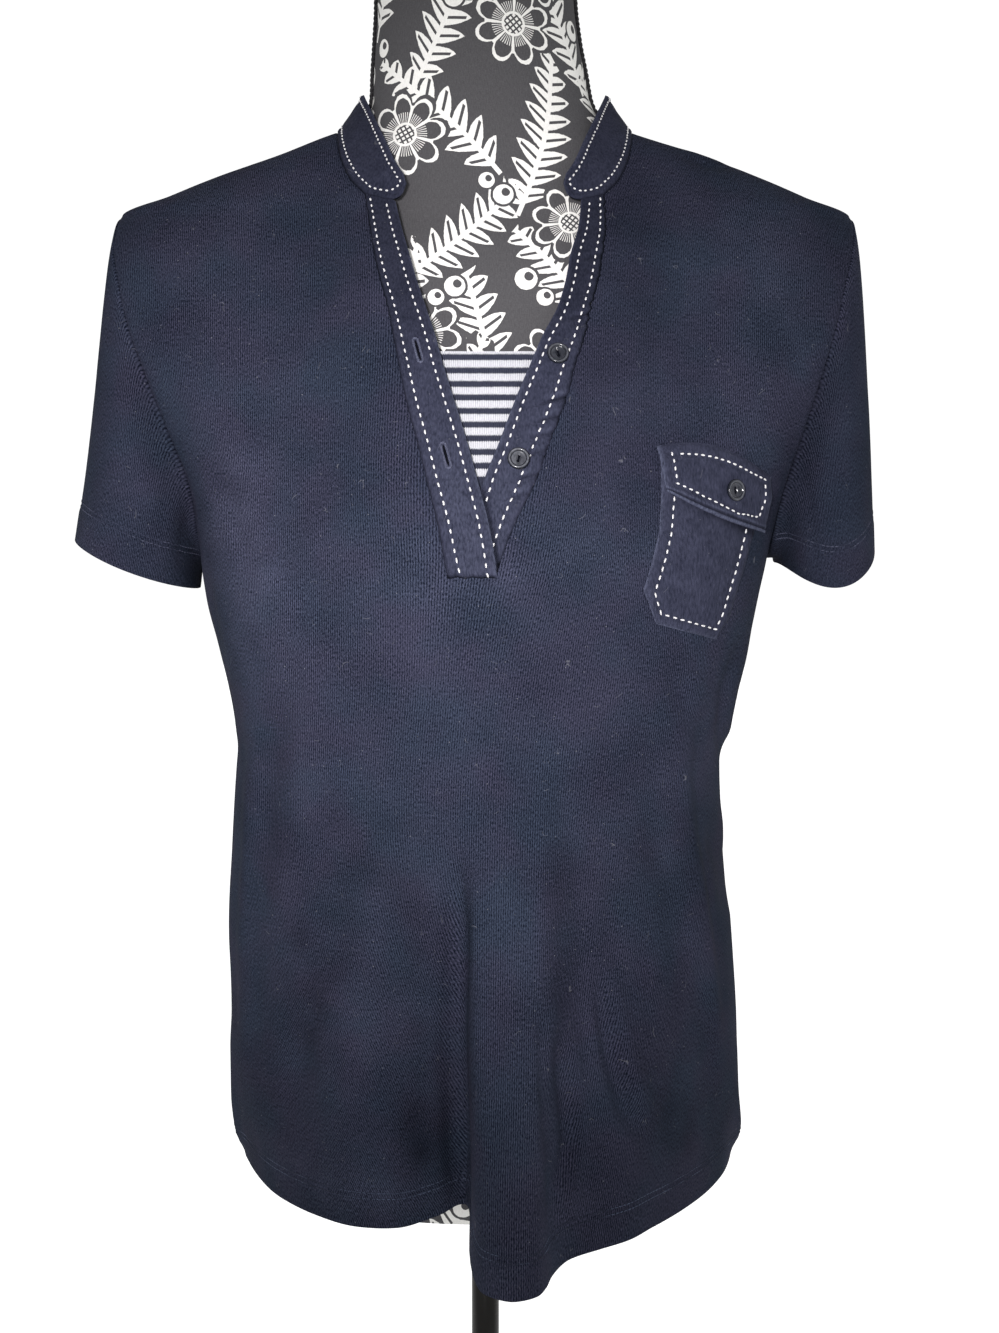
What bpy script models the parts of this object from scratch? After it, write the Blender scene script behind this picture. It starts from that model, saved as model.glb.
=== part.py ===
"""Short-sleeved henley shirt with a band collar, a pocket and a striped inset, on a limbless dress form.

The tables are in millimetres and the scene is in metres. +Z is up, the chest faces -Y and the
wearer's left is +X. The origin is on the floor, under the middle of the stand's foot.
"""

import math

import bmesh
import bpy
from mathutils import Vector

MM = 0.001

# Walls and gaps
KNIT_WALL = 1.5
WOVEN_WALL = 1.6
STRIP_WALL = 1.5
INSET_WALL = 1.2
SEAM_GAP = 0.3
WELD = 1e-4

# Heights of the shirt
HEM = 610.0
UNDERARM = 959.0
SHOULDER = 1150.0
NECK_SIDE = 1197.0
NECK_BACK = 1183.0
NECK_HALF_WIDTH = 82.4
PLACKET_FOOT = 951.0
PLACKET_TOP = 1154.7

# Armhole: an oval seen from the side, on the body's own surface
ARMHOLE_MIDDLE = (UNDERARM + SHOULDER) / 2
ARMHOLE_HALF_HEIGHT = (SHOULDER - UNDERARM) / 2
ARMHOLE_FRONT_REACH = 53.0
ARMHOLE_BACK_REACH = 60.0

# Sleeve opening: an oval beside the body, high at its outer side and low at the front. The
# wearer's right sleeve is side -1.
CUFF_MIDDLE = {-1: (-198.9, 3.0, 955.5), 1: (194.5, 3.0, 960.5)}
CUFF_HALF_WIDTH = {-1: 34.1, 1: 27.0}
CUFF_HALF_DEPTH = {-1: 58.0, 1: 61.0}
CUFF_TILT = {-1: 0.42, 1: 0.18}
CUFF_DIP = {-1: 2.0, 1: 17.0}
SLEEVE_FALL = {-1: 0.18, 1: 0.04}
SLEEVE_RINGS = 7

# How far the sleeve's lines run straight on from the armhole seam and straight into the cuff, and
# how steeply the sleeve leaves the body under the arm.
SEAM_STRAIGHT_AT_SHOULDER = 3.5
SEAM_STRAIGHT_AT_SIDES = 8.0
CUFF_STRAIGHT_AT_SHOULDER = 75.0
CUFF_STRAIGHT_UNDER_ARM = 5.0
UNDERARM_SLOPE = 0.25
WALL_STRETCH_LIMIT = 0.6

# Grid of the body panels
LOWER_ROWS = 13
PLACKET_ROWS = 9
NECKLINE_ROWS = 5
UPPER_ROWS = PLACKET_ROWS + NECKLINE_ROWS
SIDE_COLUMNS = 12
MIDDLE_HEM_ANGLES = {-1: -5.0, 1: 14.0}
SIDE_CROWDING = {-1: 1.15, 1: 1.3}
MIDDLE_COLUMNS = 8
BACK_SIDE_COLUMNS = 7
BACK_NECK_COLUMNS = 10
BACK_NECK_SPREAD = 1.12

# Form, stand and buttons
FORM_SIDES = 28
NECK_CAP_RADIUS = 50.0
NECK_CAP_HEIGHT = 12.0
NECK_CAP_BEVEL = 4.0
NECK_AXIS = (-5.5, 10.0)
POLE_RADIUS = 8.0
FOOT_RADIUS = 160.0
FOOT_RIM = 4.5
FOOT_MIDDLE = 7.5
SOCKET_RADIUS = 22.0
SOCKET_HEIGHT = 30.0


def table(columns, rows):
    """Rows of numbers with named columns."""
    names = columns.split()
    return [dict(zip(names, row)) for row in rows]


# The shirt's outline from the front: half widths down to the wearer's right and left. Up to the
# underarm they reach the side seam, then the armhole seam, and above the shoulder point the
# shoulder seam.
OUTLINE = table("height right left", (
    (610, 141, 144), (630, 146, 149), (655, 147, 147), (680, 147, 145.5), (703, 146, 144.5),
    (727, 146, 143), (750, 146.2, 141.3), (773, 145.3, 139), (796, 143.6, 136.6), (819, 142.3, 134.2),
    (842, 140.6, 133.4), (854, 139.6, 135), (866, 141, 138.3), (888, 145, 143.8), (911, 149.8, 148.5),
    (940, 156.2, 154.4), (959, 159.5, 158.5), (991, 161.5, 164), (1034, 175, 176), (1060, 185, 184),
    (1084, 193.5, 191), (1110, 200, 197.5), (1130, 204, 203), (1150, 204.5, 206.3),
    (1160.5, 178.8, 181.8), (1171.6, 151.5, 155.5), (1182.7, 120, 127), (1193.8, 92, 91.5),
    (1197, 82.4, 82.4),
))

# The shirt's outline from the side, with how square the corners of each level section are.
DEPTH = table("height front back corner", (
    (610, 118, 112, 2.1), (660, 119, 109, 2.3), (700, 121, 106, 2.4), (800, 126, 98, 2.5),
    (850, 128, 98, 2.6), (900, 130, 101, 2.75), (950, 128, 106, 2.7), (1000, 118, 108, 2.5),
    (1050, 102.5, 109, 2.4), (1100, 83.5, 105, 2.3), (1130, 71, 100, 2.25), (1150, 60, 94, 2.2),
    (1165, 52.5, 88, 2.2), (1180, 44, 81, 2.2), (1197, 34, 74, 2.2),
))

# Seams and free edges of the two placket strips, seen from the front.
PLACKET = table("height right_seam right_edge left_edge left_seam", (
    (951, -18.8, 6.4, -14.0, 6.6), (963, -21.1, 4.7, -11.0, 6.9), (977, -23.3, 2.2, -7.0, 16.6),
    (1000, -29.1, -3.6, 0.0, 26.0), (1020, -33.8, -9.0, 7.9, 33.8), (1045, -41.1, -16.7, 16.8, 42.6),
    (1062, -44.6, -21.9, 24.0, 47.0), (1076, -47.4, -25.7, 30.0, 51.9), (1092, -50.7, -31.0, 38.3, 55.5),
    (1106, -54.6, -35.7, 42.5, 59.5), (1120, -58.0, -39.7, 45.2, 62.1), (1137, -61.0, -44.6, 50.0, 64.2),
    (1154.7, -64.0, -48.8, 52.0, 64.0),
))

# Neck seam from the placket's corner up to the shoulder seam.
NECKLINE = table("share half_width height", (
    (0.0, 64.0, 1154.7), (0.25, 73.0, 1164.7), (0.6, 79.0, 1179.0), (1.0, 82.4, 1197.0),
))

# Band collar, by how far its seam is from the middle: from the front end round to the shoulder.
# edge_depth is how far in front of the neck's middle the free edge stands, and low and high are
# the shares of its width that the rounded end leaves.
COLLAR = table("seam_x seam_z edge_x edge_depth edge_z low high", (
    (47.0, 1150.4, 40.0, 57.0, 1163.0, 0.2, 0.62), (49.5, 1151.0, 41.5, 56.0, 1164.5, 0.05, 0.86),
    (54.0, 1152.2, 43.5, 54.0, 1167.0, 0.0, 0.98), (64.0, 1155.0, 48.5, 50.0, 1174.5, 0.0, 1.0),
    (72.6, 1164.7, 53.0, 42.5, 1185.0, 0.0, 1.0), (79.0, 1179.2, 61.0, 24.0, 1203.0, 0.0, 1.0),
    (82.4, 1197.0, 68.2, 0.0, 1219.5, 0.0, 1.0),
))
COLLAR_BACK_DEPTH = 74.5
COLLAR_BACK_EDGE = 1210.0
COLLAR_BACK_ROUNDING = 0.75
COLLAR_END_STEPS = 4
COLLAR_ROWS = 3

# The front hem in plan, by the angle round the body from -90 at the wearer's right to 90. The cloth
# hangs from the body's own section at the top height to this line at the hem.
FRONT_HEM = table("angle x y z top", (
    (-90, -141, 0, 610, 611), (-72, -134, -26, 611.5, 680), (-55, -117, -68, 611, 700),
    (-40, -91, -101, 610, 740), (-28, -68, -119, 610, 780), (-18, -46, -124, 611, 800),
    (-10, -25, -120, 616, 820), (-5, -11, -115, 620, 840), (-3.6, -8.2, -125, 618, 840),
    (-2.4, -8, -150, 612, 840), (-1, -5.5, -177, 606, 845), (1.2, -0.5, -194, 604, 850),
    (4.5, 13, -204, 604, 860), (8, 24.7, -198, 604, 860), (10.5, 29.5, -187, 604, 850),
    (13, 33, -173, 604.5, 830), (17, 42, -156, 606, 800), (22, 57, -148, 608, 830),
    (29, 74.3, -136.5, 609, 840), (36, 88, -120.5, 610, 820), (45, 105, -97, 610, 760),
    (56, 122, -68, 610, 720), (70, 136, -36, 611.5, 680), (90, 144, 0, 610, 611),
))
HANG_POWER = 1.35

# Smaller folds, by the same angle. Each fades out at its top height and is strongest at its full
# share of the way down.
FRONT_FOLDS = table("top_angle top low_angle low full rise before after", (
    (40.0, 925, 62.0, 640, 0.5, 5.0, 14.0, 7.0), (20.0, 840, 30.0, 640, 0.5, -4.0, 6.0, 6.0),
    (-9.0, 790, -8.0, 625, 0.6, -6.0, 14.0, 5.0), (-32.0, 790, -30.0, 625, 0.6, 4.0, 12.0, 12.0),
    (-55.0, 930, -64.0, 640, 0.5, 4.0, 9.0, 9.0),
))
BACK_FOLDS = table("top_angle top low_angle low full rise before after", (
    (-58.0, 840, -50.0, 600, 1.0, 13.0, 14.0, 14.0), (-18.0, 880, -22.0, 600, 1.0, 9.0, 12.0, 12.0),
    (14.0, 860, 10.0, 600, 1.0, 15.0, 13.0, 15.0), (46.0, 860, 52.0, 600, 1.0, 11.0, 14.0, 12.0),
    (0.0, 930, 0.0, 700, 0.5, -4.0, 26.0, 26.0),
))

# Patch pocket and its flap on the wearer's left, edge points from the bottom up.
POCKET = table("right_x right_z left_x left_z", (
    (87.7, 926.8, 121.4, 917.4), (81.0, 944.3, 129.0, 929.0), (85.2, 957.0, 134.0, 945.0),
    (89.5, 975.0, 140.0, 963.0), (90.7, 992.0, 145.0, 980.0), (90.6, 1009.0, 149.0, 996.0),
))
FLAP = table("right_x right_z left_x left_z bulge", (
    (92.6, 994.0, 148.5, 973.5, -2.0), (91.0, 1002.0, 150.0, 983.0, 2.0),
    (89.5, 1010.0, 151.0, 993.0, 5.0), (88.4, 1018.0, 152.0, 1003.0, 8.0),
))
POCKET_LIFT = 0.9
FLAP_LIFT = 3.2
FLAP_FREE_LIFT = 2.2
POCKET_COLUMNS = 6

# Striped inset behind the placket.
INSET_TOP = 1069.6
INSET_FOOT = 957.0
INSET_MARGIN = 3.0
INSET_LEAST_WIDTH = 12.0
INSET_BEHIND = 5.0
INSET_COLUMNS = 6
INSET_ROWS = 5

# The wearer's left strip tucks behind the right one as it goes down.
STRIP_COLUMNS = 2
LEFT_STRIP_TUCK = 2.1
TUCK_FROM = 1035.0
TUCK_TO = 998.0

BUTTONS = table("name x z lift", (
    ("button_upper", 38.0, 1065.9, 0.5), ("button_lower", 17.2, 1011.1, 0.5),
    ("button_pocket", 127.3, 995.4, 6.1),
))
BUTTON_PROFILE = table("radius height", (
    (5.2, 0.0), (5.8, 0.7), (5.6, 2.0), (5.0, 2.4), (4.2, 2.2), (3.8, 1.6),
))

# Dress form: level sections from the hip to the top of the neck, which leans to the wearer's
# right.
FORM = table("height middle half_width front back corner", (
    (604, 0, 126, 101, 99, 2.1), (612, 0, 129, 104, 101, 2.1), (660, 0, 133, 104, 98, 2.2),
    (720, 0, 130, 102, 93, 2.3), (780, 0, 124, 101, 88, 2.3), (820, 0, 123, 103, 87, 2.4),
    (860, 0, 127, 109, 89, 2.5), (900, 0, 136, 117, 93, 2.6), (935, 0, 145, 119, 97, 2.6),
    (965, 0, 149, 115.5, 99, 2.5), (1000, 0, 153, 107.5, 100, 2.4), (1050, 0, 167, 92, 101, 2.3),
    (1090, 0, 184, 76, 98, 2.3), (1115, 0, 194, 67, 93, 2.3), (1132, 0, 198, 59, 88, 2.2),
    (1143, 0, 198, 52, 84, 2.2), (1150, 0, 192, 49, 82, 2.2), (1158, 0, 172, 46, 79, 2.2),
    (1168, 0, 144, 43.5, 76, 2.1), (1178, 0, 116, 42, 73, 2.1), (1187, 0, 90, 41.5, 70, 2.1),
    (1195, -0.5, 74, 41, 68, 2.0), (1205, -1, 65, 41, 67, 2.0), (1216, -2, 60.8, 41.5, 66.5, 2.0),
    (1230, -3, 59.2, 42.5, 66, 2.0), (1248, -4.2, 56.8, 43, 65.5, 2.0),
    (1270, -5, 55, 43.5, 64.5, 2.0), (1300, -5.5, 54.8, 44, 64, 2.0),
))
FORM_FOOT = FORM[0]["height"]
FORM_TOP = FORM[-1]["height"]


def smooth(share):
    """Eases from 0 to 1."""
    share = max(0.0, min(1.0, share))
    return share * share * (3 - 2 * share)


def mix(a, b, share):
    return a + (b - a) * share


def read(rows, column, at, key="height"):
    """A table's column at any height between its rows, without overshoot."""
    if at <= rows[0][key]:
        return rows[0][column]
    if at >= rows[-1][key]:
        return rows[-1][column]
    low = max(i for i in range(len(rows) - 1) if rows[i][key] <= at)
    steps = [b[key] - a[key] for a, b in zip(rows, rows[1:])]
    slopes = [(b[column] - a[column]) / step for a, b, step in zip(rows, rows[1:], steps)]

    def slope_at(i):
        if i == 0 or i == len(rows) - 1 or slopes[i - 1] * slopes[i] <= 0:
            return 0.0 if 0 < i < len(rows) - 1 else slopes[min(i, len(slopes) - 1)]
        return 2 * slopes[i - 1] * slopes[i] / (slopes[i - 1] + slopes[i])

    t = (at - rows[low][key]) / steps[low]
    start, end = rows[low][column], rows[low + 1][column]
    first, last = slope_at(low) * steps[low], slope_at(low + 1) * steps[low]
    bend = (2 * t**3 - 3 * t**2 + 1) * start + (t**3 - 2 * t**2 + t) * first
    return bend + (3 * t**2 - 2 * t**3) * end + (t**3 - t**2) * last


def outline(side, height):
    """Half width of the shirt on one side: -1 is the wearer's right and 1 the left."""
    return read(OUTLINE, "right" if side < 0 else "left", height)


def armhole_reach(face, height):
    """How far the armhole seam stands from the shoulder's plane: face -1 is the front, 1 the back."""
    if not UNDERARM < height < SHOULDER:
        return 0.0
    reach = ARMHOLE_FRONT_REACH if face < 0 else ARMHOLE_BACK_REACH
    return reach * math.sqrt(1 - ((height - ARMHOLE_MIDDLE) / ARMHOLE_HALF_HEIGHT) ** 2)


def section(side, face, height):
    """Half width, depth and corner of the level section that the panels lie on. Between the
    underarm and the shoulder it passes through the armhole seam."""
    depth = read(DEPTH, "front" if face < 0 else "back", height)
    corner = read(DEPTH, "corner", height)
    left_over = 1 - (armhole_reach(face, height) / depth) ** corner
    return outline(side, height) / left_over ** (1 / corner), depth, corner


def angle_at(side, face, x, height):
    """The angle round the body, from 0 at the middle to 90 at the side, where the panel is at x."""
    width, _, corner = section(side, face, height)
    return math.degrees(math.asin(min(1.0, abs(x) / width) ** (corner / 2)))


def bump(distance, before, after):
    """1 at the middle, easing to 0 at before on one side and after on the other."""
    share = -distance / before if distance < 0 else distance / after
    return math.cos(min(1.0, share) * math.pi / 2) ** 2


def fold_rise(face, angle, height):
    """How far the smaller folds push the cloth out."""
    out = 0.0
    for fold in FRONT_FOLDS if face < 0 else BACK_FOLDS:
        down = (fold["top"] - height) / (fold["top"] - fold["low"])
        if not 0 < down <= 1:
            continue
        full = fold["full"]
        strength = smooth(down / full) if down < full else smooth((1 - down) / (1 - full))
        middle = mix(fold["top_angle"], fold["low_angle"], down)
        out += fold["rise"] * strength * bump(angle - middle, fold["before"], fold["after"])
    return out


def panel_point(face, angle, height):
    """A point of the body's outer surface, in millimetres. angle runs from -90 at the wearer's
    right to 90 at the left, on the front (face -1) or the back (face 1)."""
    side = -1 if angle < 0 else 1
    width, depth, corner = section(side, face, height)
    turn = math.radians(abs(angle))
    x = side * width * math.sin(turn) ** (2 / corner)
    y = face * depth * max(0.0, math.cos(turn)) ** (2 / corner)
    away = Vector((x / width**2, y / depth**2, 0)).normalized()
    point = Vector((x, y, height)) + away * fold_rise(face, angle, height)
    top = read(FRONT_HEM, "top", angle, "angle")
    if face < 0 and height < top:
        hang = ((top - height) / (top - HEM)) ** HANG_POWER
        hem = [read(FRONT_HEM, axis, angle, "angle") for axis in "xyz"]
        point = point.lerp(Vector((hem[0], hem[1], height + hem[2] - HEM)), hang)
    return point


def front_point(x, height):
    """The front panel's outer surface, seen from the front at x."""
    side = -1 if x < 0 else 1
    return panel_point(-1, side * angle_at(side, -1, x, height), height)


def front_normal(x, height):
    """Unit normal of the front panel, pointing out."""
    across = front_point(x + 1, height) - front_point(x - 1, height)
    upwards = front_point(x, height + 1) - front_point(x, height - 1)
    return across.cross(upwards).normalized()


def lifted(x, height, distance):
    """A point this far off the front panel."""
    return front_point(x, height) + front_normal(x, height) * distance


def clear_scene():
    for obj in list(bpy.data.objects):
        bpy.data.objects.remove(obj)


def material(name, colour, roughness, metallic=0.0):
    made = bpy.data.materials.new(name)
    made.use_nodes = True
    shader = made.node_tree.nodes["Principled BSDF"]
    shader.inputs["Base Color"].default_value = (*colour, 1.0)
    shader.inputs["Roughness"].default_value = roughness
    shader.inputs["Metallic"].default_value = metallic
    return made


def add_object(name, mesh_builder, finish):
    """Turns a bmesh in millimetres into an object in metres."""
    bmesh.ops.scale(mesh_builder, vec=(MM, MM, MM), verts=mesh_builder.verts)
    mesh = bpy.data.meshes.new(name)
    mesh_builder.to_mesh(mesh)
    mesh_builder.free()
    mesh.shade_smooth()
    mesh.set_sharp_from_angle(angle=math.radians(40))
    mesh.materials.append(finish)
    obj = bpy.data.objects.new(name, mesh)
    bpy.context.scene.collection.objects.link(obj)
    return obj


def cloth(
    name, columns, rows, place, wall, finish, keep=None, ring=False, flip=False, turn_wall=None
):
    """A closed wall whose outer face is the grid of place(column, row). keep(column, row) says
    which cells are there, and ring closes the columns into a tube. The wall goes in along the
    normal, unless turn_wall(column, row, normal) turns it to meet the next piece's at a seam."""
    sheet = bmesh.new()
    inwards = sheet.verts.layers.float_vector.new("inwards")
    bmesh.ops.create_grid(sheet, x_segments=columns, y_segments=rows, size=0.5)
    if keep:
        cells = [(face, face.calc_center_median()) for face in sheet.faces]
        gone = [
            face for face, middle in cells
            if not keep(int((middle.x + 0.5) * columns), int((middle.y + 0.5) * rows))
        ]
        bmesh.ops.delete(sheet, geom=gone, context="FACES")
    keys = {}
    for vert in sheet.verts:
        column, row = round((vert.co.x + 0.5) * columns), round((vert.co.y + 0.5) * rows)
        keys[vert] = (column % columns if ring else column, row)
    for vert, key in keys.items():
        vert.co = place(*key)
    if ring:
        bmesh.ops.remove_doubles(sheet, verts=sheet.verts, dist=WELD)
    if flip:
        bmesh.ops.reverse_faces(sheet, faces=sheet.faces)
    sheet.normal_update()
    for vert in sheet.verts:
        direction = turn_wall(*keys[vert], vert.normal) if turn_wall else vert.normal
        vert[inwards] = -wall * direction
    made = bmesh.ops.extrude_face_region(sheet, geom=sheet.faces[:], use_keep_orig=True)["geom"]
    for vert in made:
        if isinstance(vert, bmesh.types.BMVert):
            vert.co += vert[inwards]
    bmesh.ops.recalc_face_normals(sheet, faces=sheet.faces)
    return add_object(name, sheet, finish)


def turned(name, profile, place, sides, finish):
    """A solid of revolution from its radius and height profile, with both ends capped."""
    body = bmesh.new()
    verts = [body.verts.new((row["radius"], 0, row["height"])) for row in profile]
    edges = [body.edges.new(pair) for pair in zip(verts, verts[1:])]
    bmesh.ops.spin(
        body, geom=verts + edges, cent=(0, 0, 0), axis=(0, 0, 1), angle=math.tau, steps=sides,
        use_merge=True,
    )
    bmesh.ops.remove_doubles(body, verts=body.verts, dist=WELD)
    bmesh.ops.holes_fill(body, edges=[edge for edge in body.edges if edge.is_boundary])
    bmesh.ops.recalc_face_normals(body, faces=body.faces)
    for vert in body.verts:
        vert.co = place(vert.co)
    return add_object(name, body, finish)


def upper_turn(row):
    """Angle down the armhole from the shoulder point, for a row above the underarm."""
    return math.pi * (1 - row / UPPER_ROWS)


def upper_height(row):
    """Height of that row's outer end, on the armhole seam."""
    return ARMHOLE_MIDDLE + ARMHOLE_HALF_HEIGHT * math.cos(upper_turn(row))


def lower_height(row):
    return mix(HEM, UNDERARM, row / LOWER_ROWS)


def placket_height(row):
    return mix(PLACKET_FOOT, PLACKET_TOP, row / PLACKET_ROWS)


def side_name(side):
    return "right" if side < 0 else "left"


def front_inner_end(side, row):
    """Where a row above the underarm ends: on the placket's seam, then on the neck seam."""
    if row <= PLACKET_ROWS:
        height = placket_height(row)
        return read(PLACKET, side_name(side) + "_seam", height), height
    share = (row - PLACKET_ROWS) / NECKLINE_ROWS
    half_width = read(NECKLINE, "half_width", share, "share")
    return side * half_width, read(NECKLINE, "height", share, "share")


def middle_seam(side, height):
    """Angle of the middle columns' edge, which widens from the placket's foot to the hem."""
    down = (PLACKET_FOOT - height) / (PLACKET_FOOT - HEM)
    foot = signed_angle(PLACKET[0][side_name(side) + "_seam"], PLACKET_FOOT)
    return mix(foot, MIDDLE_HEM_ANGLES[side], down)


def signed_angle(x, height):
    side = -1 if x < 0 else 1
    return side * angle_at(side, -1, x, height)


def armhole_angle(side, face, height):
    """Angle of the armhole seam, or of the side seam below the underarm."""
    return side * angle_at(side, face, outline(side, height), height)


def front_place(column, row):
    """Grid of the front panel: the wearer's right side, the strip under the placket, the left."""
    upper = row - LOWER_ROWS
    outer = lower_height(row) if upper <= 0 else upper_height(upper)
    last = 2 * SIDE_COLUMNS + MIDDLE_COLUMNS
    if SIDE_COLUMNS < column < SIDE_COLUMNS + MIDDLE_COLUMNS:
        share = (column - SIDE_COLUMNS) / MIDDLE_COLUMNS
        height = lower_height(row) if upper < 0 else PLACKET_FOOT
        return panel_point(-1, mix(middle_seam(-1, height), middle_seam(1, height), share), height)
    side = -1 if column <= SIDE_COLUMNS else 1
    steps_out = SIDE_COLUMNS - column if side < 0 else column - SIDE_COLUMNS - MIDDLE_COLUMNS
    from_seam = (steps_out / SIDE_COLUMNS) ** SIDE_CROWDING[side]
    if upper < 0:
        inner, inner_height = middle_seam(side, outer), outer
    else:
        inner_x, inner_height = front_inner_end(side, upper)
        inner = side * 90.0 if upper == UPPER_ROWS else signed_angle(inner_x, inner_height)
    outer_angle = side * 90.0 if upper == UPPER_ROWS else armhole_angle(side, -1, outer)
    point = panel_point(-1, mix(inner, outer_angle, from_seam), mix(inner_height, outer, from_seam))
    at_side = column in (0, last) and upper <= 0
    if at_side or upper == UPPER_ROWS:
        point.y -= SEAM_GAP / 2
    return point


def front_keep(column, row):
    return row < LOWER_ROWS or not SIDE_COLUMNS <= column < SIDE_COLUMNS + MIDDLE_COLUMNS


def back_place(column, row):
    """Grid of the back panel, from the wearer's left side to the right."""
    upper = row - LOWER_ROWS
    outer = lower_height(row) if upper <= 0 else upper_height(upper)
    last = 2 * BACK_SIDE_COLUMNS + BACK_NECK_COLUMNS
    side = 1 if column < last / 2 else -1
    from_edge = min(column, last - column)
    neck_share = max(0, upper) / UPPER_ROWS
    neck_height = mix(outer if upper <= 0 else UNDERARM, NECK_SIDE, neck_share)
    top_row = upper == UPPER_ROWS
    outer_angle = 90.0 if top_row else abs(armhole_angle(side, 1, outer))
    neck_x = NECK_HALF_WIDTH * mix(BACK_NECK_SPREAD, 1.0, neck_share)
    neck_angle = 90.0 if top_row else angle_at(side, 1, neck_x, neck_height)
    if from_edge <= BACK_SIDE_COLUMNS:
        share = from_edge / BACK_SIDE_COLUMNS
        angle, height = mix(outer_angle, neck_angle, share), mix(outer, neck_height, share)
        if top_row:
            height = mix(SHOULDER, NECK_SIDE, share)
    else:
        round_neck = (from_edge - BACK_SIDE_COLUMNS) / (BACK_NECK_COLUMNS / 2) * math.pi / 2
        height = neck_height - (NECK_SIDE - NECK_BACK) * math.sin(round_neck) * neck_share
        angle = angle_at(side, 1, neck_x * math.cos(round_neck), height)
    point = panel_point(1, side * angle, height)
    if (from_edge == 0 and upper <= 0) or (top_row and from_edge <= BACK_SIDE_COLUMNS):
        point.y += SEAM_GAP / 2
    return point


def armhole_point(side, turn):
    """The armhole seam: turn 0 is the shoulder point, 90 the front, 180 the underarm."""
    height = ARMHOLE_MIDDLE + ARMHOLE_HALF_HEIGHT * math.cos(turn)
    face = -1 if math.sin(turn) > 0 else 1
    reach = ARMHOLE_FRONT_REACH if face < 0 else ARMHOLE_BACK_REACH
    return Vector((side * outline(side, height), -reach * math.sin(turn), height))


def armhole_frame(side, turn):
    """At the armhole seam: the direction in which the sleeve leaves it, and the direction of the
    walls there, which the panels and the sleeve share."""
    step = 0.01
    along = (armhole_point(side, turn + step) - armhole_point(side, turn - step)).normalized()
    face = -1 if math.sin(turn) > 0 else 1
    height = min(max(armhole_point(side, turn).z, UNDERARM + 1), SHOULDER - 1)
    seam_angle = armhole_angle(side, face, height)
    near_angle = 0.95 * seam_angle
    across = panel_point(face, seam_angle, height) - panel_point(face, near_angle, height)
    rise = panel_point(face, near_angle, height + 1) - panel_point(face, near_angle, height - 1)
    panel_normal = across.cross(rise).normalized()
    panel_normal *= math.copysign(1, panel_normal.x * side)
    outwards = Vector((0, -math.sin(turn), math.cos(turn)))
    onwards = along.cross(panel_normal).normalized()
    onwards *= -math.copysign(1, onwards.dot(outwards))
    sideways = Vector((side, 0, -UNDERARM_SLOPE))
    sideways = (sideways - along * sideways.dot(along)).normalized()
    away = onwards.lerp(sideways, (1 - math.cos(turn)) / 2).normalized()
    sleeve_normal = along.cross(away).normalized()
    sleeve_normal *= math.copysign(1, sleeve_normal.dot(outwards))
    wall = (panel_normal + sleeve_normal).normalized()
    if abs(math.sin(turn)) < 1e-6:
        wall.y = 0
        wall.normalize()
    return away, wall / max(WALL_STRETCH_LIMIT, wall.dot(panel_normal))


def in_seam_plane(normal):
    """At the side and shoulder seams the wall stays in the plane of the seam."""
    return Vector((normal.x, 0, normal.z)).normalized()


def front_wall(column, row, normal):
    upper = row - LOWER_ROWS
    if column in (0, 2 * SIDE_COLUMNS + MIDDLE_COLUMNS):
        side = -1 if column == 0 else 1
        return in_seam_plane(normal) if upper < 0 else armhole_frame(side, upper_turn(upper))[1]
    return in_seam_plane(normal) if upper == UPPER_ROWS else normal


def back_wall(column, row, normal):
    upper = row - LOWER_ROWS
    last = 2 * BACK_SIDE_COLUMNS + BACK_NECK_COLUMNS
    if column in (0, last):
        side = 1 if column == 0 else -1
        return in_seam_plane(normal) if upper < 0 else armhole_frame(side, -upper_turn(upper))[1]
    on_shoulder = upper == UPPER_ROWS and not BACK_SIDE_COLUMNS < column < last - BACK_SIDE_COLUMNS
    return in_seam_plane(normal) if on_shoulder else normal


def sleeve_turn(column):
    return math.pi * column / UPPER_ROWS


def sleeve_place(side):
    """Sleeve grid: each line runs as a curve from the armhole seam to the cuff."""
    centre = Vector(CUFF_MIDDLE[side])
    downwards = Vector((side * SLEEVE_FALL[side], 0, -1)).normalized()

    def place(column, row):
        turn = sleeve_turn(column)
        away = armhole_frame(side, turn)[0]
        start = armhole_point(side, turn) + away * SEAM_GAP
        outer = CUFF_HALF_WIDTH[side] * math.cos(turn)
        front = math.sin(turn)
        drop = CUFF_TILT[side] * outer - CUFF_DIP[side] * front * abs(front)
        cuff = centre + Vector((side * outer, -CUFF_HALF_DEPTH[side] * front, drop))
        under = (1 - math.cos(turn)) / 2
        first = start + away * mix(SEAM_STRAIGHT_AT_SHOULDER, SEAM_STRAIGHT_AT_SIDES, abs(front))
        second = cuff - downwards * mix(CUFF_STRAIGHT_AT_SHOULDER, CUFF_STRAIGHT_UNDER_ARM, under)
        t = row / SLEEVE_RINGS
        near = start * (1 - t) ** 3 + first * 3 * t * (1 - t) ** 2
        return near + second * 3 * t**2 * (1 - t) + cuff * t**3

    return place


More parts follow.
